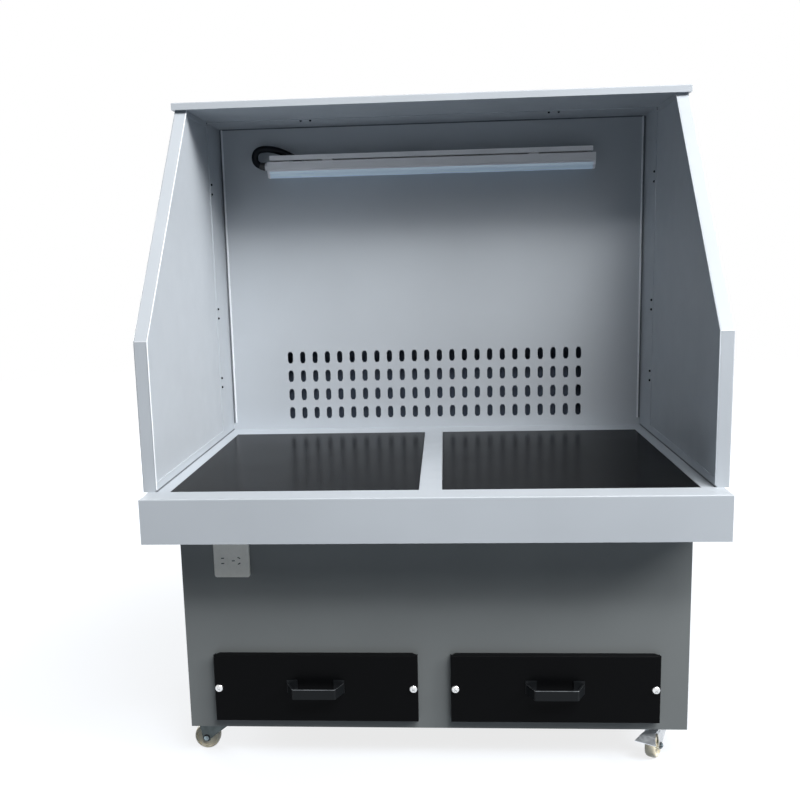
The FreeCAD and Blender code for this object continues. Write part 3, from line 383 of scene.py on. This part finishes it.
# Fan room: a partition of grey sheet, two pleated cartridges of felted polyester hung in front of it,
# and behind it a fan with a painted casing, its motor on a folded stand. The drawers' runners are plated too.
cloth = new_finish("felted_polyester", (0.8, 0.79, 0.75), 0.95, specular=0.2)
drift_colour(cloth, patches(cloth, 0.004, 5), (0.72, 0.71, 0.66), (0.86, 0.85, 0.82))
raise_skin(cloth, patches(cloth, 0.0008, 4), 0.0002)
motor_paint = powder_coat("motor_paint", (0.2, 0.24, 0.28), 0.4, 0.55)
dress(cloth, "filter_cartridges")
dress(motor_paint, "fan_motor", "fan_casing")
dress(zinc, "fan_impeller", "motor_stand", "drawer_runners")
dress(dark_grey, "filter_partition")

# Drawers: folded black fronts screwed over the dust trays, all powder coated.
# The handle on each front is bent from flat bar and has a coat of its own, a shade paler.
black = powder_coat("black_coat", (0.0026, 0.0028, 0.0032), 0.32, 0.42, specular=0.05)
for side in ("left", "right"):
    dress(black, "drawer_front_" + side, "drawer_tray_" + side)
handle_black = powder_coat("handle_coat", (0.0085, 0.0098, 0.0112), 0.3, 0.4, specular=0.12)
dress(handle_black, "drawer_handle_left", "drawer_handle_right")

# Edges of the handles: a fine bead of paler grey metal along the flat bar's upper outer corner,
# which is a painted highlight where the edge catches the light.


def skinned(shape, rings):
    """Joins rings of points into one closed skin, into a mesh being made."""
    rows = [[shape.verts.new(point) for point in ring] for ring in rings]
    count = len(rows[0])
    for row, following in zip(rows, rows[1:]):
        for k in range(count):
            shape.faces.new((row[k], row[k - count + 1], following[k - count + 1], following[k]))
    shape.faces.new(rows[0])
    shape.faces.new(reversed(rows[-1]))


def bead(shape, line, side, radius, steps=12):
    """A round bead along a bent line in the plane across side, mitred at the bends."""
    line = [Vector(point) for point in line]
    side = Vector(side)
    runs = [(after - before).normalized() for before, after in zip(line, line[1:])]
    turns = [2 * math.pi * n / steps for n in range(steps)]
    rings = []
    for point, before, after in zip(line, runs[:1] + runs, runs + runs[-1:]):
        across = (before + after).normalized().cross(side)
        across /= math.sqrt((1 + before.dot(after)) / 2)
        rings.append([point + radius * (math.cos(a) * side + math.sin(a) * across) for a in turns])
    skinned(shape, rings)


BAR_H, BAR_FOOT, BAR_GRIP, BAR_BEND = 0.025, 0.07, 0.051, 0.006
BEND_STEPS = 4
GLINT_R, GLINT_SINK = 0.0008, 0.0003
FOOT_SHORT_X, FOOT_SHORT_Y = 0.0016, 0.0032
# Paler grey metal bead on each handle's upper outer edge: painted highlight.
edge_glint_steel = plated("edge_glint_steel", (0.26, 0.275, 0.29), (0.13, 0.138, 0.146), 0.28, 0.4)
for side in ("left", "right"):
    low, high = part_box("drawer_handle_" + side)
    grip_x = (low.x + high.x) / 2
    lean = math.atan2(high.y - low.y, BAR_FOOT - BAR_GRIP)
    start_x = BAR_GRIP - BAR_BEND * math.tan(lean / 2)
    half = []
    for k in range(BEND_STEPS + 1):
        a = lean * k / BEND_STEPS
        half.append((start_x + BAR_BEND * math.sin(a), low.y + BAR_BEND * (1 - math.cos(a))))
    half.append((BAR_FOOT - FOOT_SHORT_X, high.y - FOOT_SHORT_Y))
    edge_z = low.z + BAR_H - GLINT_SINK
    line = [(grip_x - x, y + GLINT_SINK, edge_z) for x, y in reversed(half)]
    line += [(grip_x + x, y + GLINT_SINK, edge_z) for x, y in half]
    edges = bmesh.new()
    bead(edges, line, (0, 0, 1), GLINT_R, steps=8)
    make_piece("handle_edges_" + side, edges, edge_glint_steel, "drawer_" + side)

# Lock screws: polished domed heads with a cross recess, one at each end of a drawer,
# on a shank that reaches through the cabinet's front sheet.
LOCK_HEAD_H = 0.007
LOCK_OUTLINE = ((0, -0.0363), (0.0035, -0.0363), (0.004, -0.0355), (0.004, 0), (0.0095, 0), (0.01, 0.0004),
                (0.01, 0.0018), (0.0094, 0.0034), (0.0081, 0.005), (0.0062, 0.0062), (0.0036, 0.0068),
                (0, LOCK_HEAD_H))
CROSS_REACH, CROSS_W, CROSS_TOP, CROSS_DEEP = 0.0052, 0.0017, 0.0085, 0.0032
polished = plated("polished_steel", (0.8, 0.8, 0.8), (0.66, 0.67, 0.68), 0.16, 0.26)
for number in range(1, 5):
    node = "lock_screw_%d" % number
    at = middle(node)
    seat = (at.x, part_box(node)[0].y + LOCK_HEAD_H, at.z)
    head = bmesh.new()
    turned(head, LOCK_OUTLINE, seat, (0, -1, 0), steps=36)
    screw = make_piece("lock_screw_head_%d" % number, head, polished, "lock_%d" % number)
    cross = bmesh.new()
    cross_bars(cross, seat, (0, -1, 0), CROSS_REACH, CROSS_W, CROSS_TOP, CROSS_DEEP)
    cut_out(screw, cross)
    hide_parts(node)

# Wall socket: a square white moulding, clipped to a box behind the cabinet's front sheet.
# Near-black plates sit just inside its pin holes as painted shade, two for a two-pin plug on the left and
# three on the right.
white_moulding = new_finish("white_moulding", (0.95, 0.91, 0.82), 0.3)
drift_colour(white_moulding, patches(white_moulding, 0.02), (0.92, 0.88, 0.79), (0.97, 0.93, 0.84))
drift_gloss(white_moulding, patches(white_moulding, 0.005), 0.26, 0.36)
raise_skin(white_moulding, patches(white_moulding, 0.0011), 0.000015)
dress(white_moulding, "socket_plate")


def extruded(shape, corners, along):
    """A straight strip: a flat outline carried along a line, into a mesh being made."""
    count = len(corners)
    near = [shape.verts.new(corner) for corner in corners]
    far = [shape.verts.new(Vector(corner) + Vector(along)) for corner in corners]
    shape.faces.new(near)
    shape.faces.new(reversed(far))
    for k in range(count):
        shape.faces.new((near[k], far[k], far[k - count + 1], near[k - count + 1]))


HOLE_SHADE_W, HOLE_SHADE_H, HOLE_SHADE_T = 0.0072, 0.0026, 0.001
HOLE_SHADE_SINK = 0.0008
# Each dark plate's place from the middle of the socket plate, to the right and up, and its turn in degrees
HOLE_SHADES = ((-0.0215, 0.0048, 0), (-0.0215, -0.008, 0), (0.0044, -0.0016, 0),
            (0.0183, 0.0056, 30), (0.0183, -0.0088, -30))
at = middle("socket_plate")
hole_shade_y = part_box("socket_plate")[0].y + HOLE_SHADE_SINK
hole_shades = bmesh.new()
for across, above, turn in HOLE_SHADES:
    c, s = math.cos(math.radians(turn)), math.sin(math.radians(turn))
    corners = []
    for u, v in ((-0.5, -0.5), (0.5, -0.5), (0.5, 0.5), (-0.5, 0.5)):
        x, z = u * HOLE_SHADE_W, v * HOLE_SHADE_H
        corners.append((at.x + across + c * x + s * z, hole_shade_y, at.z + above - s * x + c * z))
    extruded(hole_shades, corners, (0, HOLE_SHADE_T, 0))
# Near-black plates in the pin holes: painted shade.
make_piece("socket_hole_shades", hole_shades, shade_black, "table")

# Worktop box: light grey folded sheet with the same baked powder paint as the hood.
# Its pan and the ledges that carry the plates are fixed inside the frame.
LIGHT = (0.493, 0.53, 0.57)
light_grey = powder_coat("light_grey_coat", LIGHT, 0.36, 0.48, specular=0.3)
dress(light_grey, "worktop_frame", "worktop_pan", "plate_ledges")

# Work plates: folded black pans with a smooth semi-gloss coat,
# laid loose on the ledges so that they lift out.
plate_black = new_finish("plate_coat", (0.004, 0.004, 0.0042), 0.26, specular=0.035)
drift_colour(plate_black, patches(plate_black, 0.2, 4), (0.0034, 0.0034, 0.0037), (0.0048, 0.0047, 0.0049))
drift_gloss(plate_black, patches(plate_black, 0.3, 2), 0.2, 0.25)
raise_skin(plate_black, patches(plate_black, 0.16, 1), 0.00005)
raise_skin(plate_black, patches(plate_black, 0.0024), 0.000003)
dress(plate_black, "plate_left", "plate_right")

# Hood: two hollow wings, the slotted back panel with the duct cover behind it, and the roof pan.
# Powder-coated light grey outside; the inside of the air duct is coloured a bluish dark grey as painted
# shade.
dress(light_grey, "wing_left", "wing_right", "wing_left_skin", "wing_right_skin", "roof", "roof_lining")
# Bluish dark grey for the inside of the duct: painted shade.
DUCT_SHADE = (0.15, 0.19, 0.26)
PANEL_FACE_DEEP, COVER_FACE_DEEP = 0.0006, 0.0007
BACK_Y = 0.383


def shaded_inside(name, test, face_y):
    """The light grey coat on one side of a sheet and painted shade, a bluish dark grey, beyond the plane y =
    face_y.
    """
    finish = powder_coat(name, LIGHT, 0.36, 0.48, specular=0.3)
    tree = finish.node_tree
    colour = tree.nodes["Principled BSDF"].inputs["Base Color"]
    place = tree.nodes.new("ShaderNodeTexCoord")
    parts = tree.nodes.new("ShaderNodeSeparateXYZ")
    inside = tree.nodes.new("ShaderNodeMath")
    inside.operation = test
    inside.inputs[1].default_value = face_y
    coats = tree.nodes.new("ShaderNodeMix")
    coats.data_type = "RGBA"
    share, outer, inner = [socket for socket in coats.inputs if socket.enabled]
    result = [socket for socket in coats.outputs if socket.enabled][0]
    inner.default_value = (*DUCT_SHADE, 1)
    tree.links.new(place.outputs["Object"], parts.inputs["Vector"])
    tree.links.new(parts.outputs["Y"], inside.inputs[0])
    tree.links.new(inside.outputs[0], share)
    tree.links.new(colour.links[0].from_socket, outer)
    tree.links.new(result, colour)
    return finish


panel_coat = shaded_inside("panel_coat", "GREATER_THAN", BACK_Y + PANEL_FACE_DEEP)
dress(panel_coat, "back_panel")
cover_back_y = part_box("duct_cover")[1].y
cover_coat = shaded_inside("cover_coat", "LESS_THAN", cover_back_y - COVER_FACE_DEEP)
dress(cover_coat, "duct_cover")

# Screws of the hood: blackened pan heads with a cross recess, in pairs through the back panel's flanges
# and under the roof, and one zinc-plated screw at each end of the roof's lip.
INNER_X = 0.628
PAIR = 0.027
PAN_Y, PAN_R, PAN_H = 0.253, 0.0034, 0.0042
WING_PAIRS_Z = (0.863, 1.067, 1.423)
ROOF_PAIR_X, ROOF_Z = 0.348, 1.62
places = []
for side in (-1, 1):
    for low_z in WING_PAIRS_Z:
        for z in (low_z, low_z + PAIR):
            places.append(((side * INNER_X, PAN_Y, z), (-side, 0, 0)))
    for x in (ROOF_PAIR_X - PAIR / 2, ROOF_PAIR_X + PAIR / 2):
        places.append(((side * x, PAN_Y, ROOF_Z), (0, 0, -1)))
black_oxide = plated("black_oxide", (0.014, 0.016, 0.019), (0.008, 0.009, 0.011), 0.35, 0.5)
hood_screws = cross_screws("hood_pan_screws", places, PAN_R, PAN_H, black_oxide, "table")
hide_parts("hood_screws")
LIP_STEP, LIP_SCREW_Y, LIP_SCREW_Z = 0.0015, 0.23, 1.615
LIP_SCREW_R, LIP_SCREW_H = 0.0042, 0.003
lip_x = INNER_X - LIP_STEP
places = [((side * lip_x, LIP_SCREW_Y, LIP_SCREW_Z), (-side, 0, 0)) for side in (-1, 1)]
cross_screws("roof_lip_screws", places, LIP_SCREW_R, LIP_SCREW_H, zinc, "table")

# Joints of the hood: the back panel's rolled upright edges, in a paler coat that is painted highlight, beside
# a dark strip in each corner's gap, a dark strip under the roof, and a dark grey strip in the gap under each
# wing's sill, all three painted shade.
SILL_H, JOINT_TOP = 0.018, 1.6195
EDGE_X, EDGE_R, EDGE_SINK = 0.6203, 0.0027, 0.0002
EDGE_STEPS = 8
# Sections: the corner joint as (x, y), the joint under the roof as (y, z)
CORNER_JOINT = ((0.6261, 0.3795), (0.6231, 0.3826), (0.6231, 0.3833), (0.6261, 0.3833))
EAVE_JOINT = ((0.3792, 1.6201), (0.3832, 1.6201), (0.3832, 1.617), (0.3826, 1.617))
EAVE_FROM, EAVE_LENGTH = 0.0001, 0.6225
SHADE_X0, SHADE_X1, SHADE_Z0, SHADE_Z1 = 0.6273, 0.6293, 0.7102, 0.7138
SHADE_SHORT = 0.003
skin_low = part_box("wing_right_skin")[0]
sill_top = skin_low.z + SILL_H
upright = (0, 0, JOINT_TOP - sill_top)
shade_run = (0, BACK_Y - 2 * SHADE_SHORT - skin_low.y, 0)
edges = bmesh.new()
joints = bmesh.new()
sill_shade = bmesh.new()
for side in (-1, 1):
    roll = []
    for k in range(EDGE_STEPS + 1):
        a = math.pi * k / EDGE_STEPS
        x, y = EDGE_X + EDGE_R * math.cos(a), BACK_Y + EDGE_SINK - EDGE_R * math.sin(a)
        roll.append((side * x, y, sill_top))
    extruded(edges, roll, upright)
    extruded(joints, [(side * x, y, sill_top) for x, y in CORNER_JOINT], upright)
    extruded(joints, [(side * EAVE_FROM, y, z) for y, z in EAVE_JOINT], (side * EAVE_LENGTH, 0, 0))
    shade_corners = ((SHADE_X0, SHADE_Z0), (SHADE_X1, SHADE_Z0), (SHADE_X1, SHADE_Z1), (SHADE_X0, SHADE_Z1))
    extruded(sill_shade, [(side * x, skin_low.y + SHADE_SHORT, z) for x, z in shade_corners], shade_run)
# Paler, glossier coat for the rolled edges and creases: painted highlight.
highlight_grey = powder_coat("highlight_coat", (0.84, 0.87, 0.91), 0.22, 0.32)
make_piece("back_panel_edges", edges, highlight_grey, "table")
# Dark grey strips in the corner gaps, under the roof and in the sill gaps: painted shade.
joint_shade_grey = new_finish("joint_shade_grey", (0.14, 0.152, 0.168), 0.5, specular=0.2)
drift_colour(joint_shade_grey, patches(joint_shade_grey, 0.03), (0.12, 0.131, 0.148), (0.165, 0.178, 0.195))
raise_skin(joint_shade_grey, patches(joint_shade_grey, 0.002), 0.00004)
make_piece("corner_joints", joints, joint_shade_grey, "table")
make_piece("sill_gap_shade", sill_shade, joint_shade_grey, "table")

# Front edges of the wings: each inner skin is rolled over the edge of the outer pan, up the front
# and the slant, and the pan is creased at the knee. The left roll and the creases have the paler, glossier
# coat of the back panel's edges, which is painted highlight; the right roll, on the shaded side, has the
# hood's own coat.
KNEE_Z, SLANT_TOP_Y = 1.056, 0.036
ROLL_R, ROLL_IN, KNEE_DROP = 0.0015, 0.0007, 0.0003
CREASE_R, CREASE_IN, CREASE_DROP = 0.001, 0.0006, 0.0004
CREASE_FROM, CREASE_SHORT = 0.001, 0.0025
wing_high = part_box("wing_right")[1]
front_y = skin_low.y + ROLL_IN
slant = Vector((0, SLANT_TOP_Y - skin_low.y, wing_high.z - KNEE_Z)).normalized()
inward = ROLL_IN * Vector((0, slant.z, -slant.y))
creases = bmesh.new()
for side, name, coat in ((-1, "wing_edge_left", highlight_grey), (1, "wing_edge_right", light_grey)):
    rolls = bmesh.new()
    roll_x = side * (INNER_X + ROLL_IN)
    foot = (roll_x, front_y, skin_low.z + ROLL_IN)
    knee = (roll_x, front_y, KNEE_Z - KNEE_DROP)
    top = (roll_x, SLANT_TOP_Y + inward.y, wing_high.z + inward.z)
    bead(rolls, (foot, knee, top), (1, 0, 0), ROLL_R)
    make_piece(name, rolls, coat, "table")
    ends_x = (INNER_X + CREASE_FROM, wing_high.x - CREASE_SHORT)
    crease = [(side * x, skin_low.y + CREASE_IN, KNEE_Z - CREASE_DROP) for x in ends_x]
    bead(creases, crease, (0, 1, 0), CREASE_R)
make_piece("knee_creases", creases, highlight_grey, "table")

# Lamp: a white-coated aluminium batten under a folded bracket, with moulded end caps
# and a milky plastic lens. The lamp is off, and the lens's pale blue tint and faint bluish glow are painted
# light.
lamp_white = new_finish("lamp_coat", (0.93, 0.93, 0.95), 0.35)
drift_gloss(lamp_white, patches(lamp_white, 0.03, 3, (0.1, 1, 1)), 0.3, 0.42)
raise_skin(lamp_white, patches(lamp_white, 0.002), 0.00002)
dress(lamp_white, "lamp_bracket", "lamp_body", "lamp_end_caps")
# Lens: pale blue tint and a faint bluish glow, both painted light, since the lamp is off.
lens = new_finish("milky_lens", (0.8, 0.92, 1.0), 0.28, specular=0.8)
lens_shader = lens.node_tree.nodes["Principled BSDF"]
lens_shader.inputs["Emission Color"].default_value = (0.5, 0.72, 1, 1)
lens_shader.inputs["Emission Strength"].default_value = 0.12
drift_gloss(lens, patches(lens, 0.02, 3, (0.1, 1, 1)), 0.22, 0.34)
raise_skin(lens, patches(lens, 0.003, 1, (0.02, 1, 1)), 0.0001)
dress(lens, "lamp_lens")

# Lamp lead: a black sheathed cable from the lamp's left cap, folded up and back over the bracket
# into a grommet in the back panel. A tapered sleeve guards it where it leaves the cap.
sheath = new_finish("black_sheath", (0.0045, 0.006, 0.0095), 0.5, specular=0.12)
drift_gloss(sheath, patches(sheath, 0.01), 0.42, 0.6)
raise_skin(sheath, patches(sheath, 0.001, 3), 0.00006)
LEAD_R = 0.0096
LEAD_ROUTE = ((-0.474, 0.35, 1.5051), (-0.5165, 0.35, 1.5051), (-0.5165, 0.35, 1.5561),
              (-0.455, 0.35, 1.5561), (-0.395, 0.35, 1.5265), (-0.395, 0.403, 1.5265))
line = bpy.data.curves.new("lamp_lead_flex", "CURVE")
line.dimensions = "3D"
spline = line.splines.new("NURBS")
spline.points.add(len(LEAD_ROUTE) - 1)
for point, place in zip(spline.points, LEAD_ROUTE):
    point.co = (*place, 1)
spline.order_u = 3
spline.use_endpoint_u = True
spline.resolution_u = 24
line.resolution_u = 24
line.bevel_depth = LEAD_R
line.bevel_resolution = 6
line.use_fill_caps = True
line.materials.append(sheath)
lead = bpy.data.objects.new("lamp_lead_flex", line)
bpy.context.scene.collection.objects.link(lead)
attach(lead, "table")
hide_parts("lamp_lead")


def along(curve):
    """Points of a curve's own line, with the distance run to each."""
    bare = curve.copy()
    bare.bevel_depth = 0
    holder = bpy.data.objects.new("bare_line", bare)
    points = [vertex.co.copy() for vertex in bpy.data.meshes.new_from_object(holder).vertices]
    bpy.data.objects.remove(holder)
    run = [0.0]
    for before, after in zip(points, points[1:]):
        run.append(run[-1] + (after - before).length)
    return points, run


SLEEVE_FROM, SLEEVE_TO = 0.011, 0.029
SLEEVE_THICK, SLEEVE_THIN, SLEEVE_GROOVE = 0.0124, 0.0103, 0.0007
GROOVE_EVERY = 4
SLEEVE_SIDES = 24
points, run = along(line)
turns = [2 * math.pi * k / SLEEVE_SIDES for k in range(SLEEVE_SIDES)]
rings = []
for number, (point, distance) in enumerate(zip(points, run)):
    if SLEEVE_FROM <= distance <= SLEEVE_TO:
        share = (distance - SLEEVE_FROM) / (SLEEVE_TO - SLEEVE_FROM)
        groove = SLEEVE_GROOVE if number % GROOVE_EVERY == 0 else 0
        radius = SLEEVE_THICK + (SLEEVE_THIN - SLEEVE_THICK) * share - groove
        tangent = (points[number + 1] - points[number - 1]).normalized()
        side = tangent.cross(Vector((0, 1, 0))).normalized()
        other = tangent.cross(side)
        rings.append([point + radius * (math.cos(a) * side + math.sin(a) * other) for a in turns])
sleeve = bmesh.new()
skinned(sleeve, rings)
make_piece("lead_sleeve", sleeve, black_moulding, "table", sharp=50)

# Floor: a round sheet of pale matt studio floor. It shows up to white to the camera and in reflections,
# a little less close to the table, and keeps the table's shadow.


def background_rays(tree):
    """One for rays that show the background: straight, mirrored or through glass."""
    path = tree.nodes.new("ShaderNodeLightPath")
    seen = tree.nodes.new("ShaderNodeMath")
    seen.operation = "MAXIMUM"
    both = tree.nodes.new("ShaderNodeMath")
    both.operation = "MAXIMUM"
    tree.links.new(path.outputs["Is Camera Ray"], seen.inputs[0])
    tree.links.new(path.outputs["Is Glossy Ray"], seen.inputs[1])
    tree.links.new(seen.outputs[0], both.inputs[0])
    tree.links.new(path.outputs["Is Transmission Ray"], both.inputs[1])
    return both.outputs[0]


FLOOR_R = 9
FADE_FROM, FADE_TO = 0.9, 3.2
NEAR_GLOW, FAR_GLOW = 0.8, 1.0
pale = bpy.data.materials.new("pale_floor")
pale.use_nodes = True
tree = pale.node_tree
tree.nodes.clear()
matt = tree.nodes.new("ShaderNodeBsdfDiffuse")
matt.inputs["Color"].default_value = (0.175, 0.2, 0.23, 1)
glow = tree.nodes.new("ShaderNodeEmission")
place = tree.nodes.new("ShaderNodeTexCoord")
reach = tree.nodes.new("ShaderNodeVectorMath")
reach.operation = "LENGTH"
fade = tree.nodes.new("ShaderNodeMapRange")
fade.interpolation_type = "SMOOTHSTEP"
fade.inputs["From Min"].default_value = FADE_FROM
fade.inputs["From Max"].default_value = FADE_TO
fade.inputs["To Min"].default_value = NEAR_GLOW
fade.inputs["To Max"].default_value = FAR_GLOW
share = tree.nodes.new("ShaderNodeMath")
share.operation = "MULTIPLY"
both = tree.nodes.new("ShaderNodeAddShader")
out = tree.nodes.new("ShaderNodeOutputMaterial")
tree.links.new(place.outputs["Object"], reach.inputs[0])
tree.links.new(reach.outputs["Value"], fade.inputs["Value"])
tree.links.new(background_rays(tree), share.inputs[0])
tree.links.new(fade.outputs["Result"], share.inputs[1])
tree.links.new(share.outputs[0], glow.inputs["Strength"])
tree.links.new(matt.outputs[0], both.inputs[0])
tree.links.new(glow.outputs[0], both.inputs[1])
tree.links.new(both.outputs[0], out.inputs["Surface"])
sheet = bmesh.new()
bmesh.ops.create_circle(sheet, cap_ends=True, segments=64, radius=FLOOR_R)
floor_mesh = bpy.data.meshes.new("floor")
sheet.to_mesh(floor_mesh)
sheet.free()
floor_mesh.materials.append(pale)
floor = bpy.data.objects.new("floor", floor_mesh)
bpy.context.scene.collection.objects.link(floor)

# Room and lights: the room is white to the camera and in reflections and gives no light of its own.
# A large key light stands high in front to the right with two strips beside it and a window farther right,
# and two lower lights stand behind the table.
room = bpy.data.worlds.new("studio")
room.use_nodes = True
bpy.context.scene.world = room
tree = room.node_tree
tree.nodes.clear()
white = tree.nodes.new("ShaderNodeBackground")
out = tree.nodes.new("ShaderNodeOutputWorld")
tree.links.new(background_rays(tree), white.inputs["Strength"])
white.inputs["Color"].default_value = (1, 1, 1, 1)
tree.links.new(white.outputs[0], out.inputs["Surface"])


def soft_light(name, place, width, height, power):
    """A rectangular soft light that faces the middle of the hood."""
    lamp = bpy.data.lights.new(name, "AREA")
    lamp.shape = "RECTANGLE"
    lamp.size = width
    lamp.size_y = height
    lamp.energy = power
    holder = bpy.data.objects.new(name, lamp)
    holder.location = place
    holder.rotation_euler = (MIDST - Vector(place)).to_track_quat("-Z", "Y").to_euler()
    bpy.context.scene.collection.objects.link(holder)


MIDST = Vector((0, 0, 1.1))
soft_light("key", (2.675, -4.14, 5.475), 3.75, 2.75, 240)
soft_light("front_strip", (0.957, -3.552, 4.835), 2.5, 0.7, 103)
soft_light("right_window", (6.75, -2.4, 5.75), 3.3, 3.0, 610)
soft_light("top_strip", (1.804, -2.758, 5.231), 2.5, 0.9, 68)
soft_light("rear_left", (-3.2, 2.6, 1.5), 2.2, 1.2, 135)
soft_light("rear_right", (0.3, 4.3, 1.5), 1.6, 1.2, 80)

# Camera: at chest height nearly in front of the table's middle, turned a little to the left and down.
# Its place, turns, focal length and picture centre are those found for the photograph.
STAND = Vector((0.03773, -2.4156, 1.2193))
YAW, PITCH, ROLL = -0.0644, -0.1638, -0.0247
PICTURE_SIDE, FOCAL_PX = 800, 914.86
CENTRE_X, CENTRE_Y = 388.0, 413.1
SENSOR_MM = 36
forward = Vector((math.sin(YAW) * math.cos(PITCH), math.cos(YAW) * math.cos(PITCH), math.sin(PITCH)))
right = Vector((math.cos(YAW), -math.sin(YAW), 0))
up = right.cross(forward)
level_right = math.cos(ROLL) * right + math.sin(ROLL) * up
level_up = -math.sin(ROLL) * right + math.cos(ROLL) * up
view = bpy.data.cameras.new("view")
view.sensor_width = SENSOR_MM
view.lens = FOCAL_PX / PICTURE_SIDE * SENSOR_MM
view.shift_x = (PICTURE_SIDE / 2 - CENTRE_X) / PICTURE_SIDE
view.shift_y = (CENTRE_Y - PICTURE_SIDE / 2) / PICTURE_SIDE
camera = bpy.data.objects.new("view", view)
columns = (level_right, level_up, -forward, STAND)
rows = [[column[k] for column in columns] for k in range(3)]
camera.matrix_world = Matrix(rows + [[0, 0, 0, 1]])
bpy.context.scene.collection.objects.link(camera)
bpy.context.scene.camera = camera
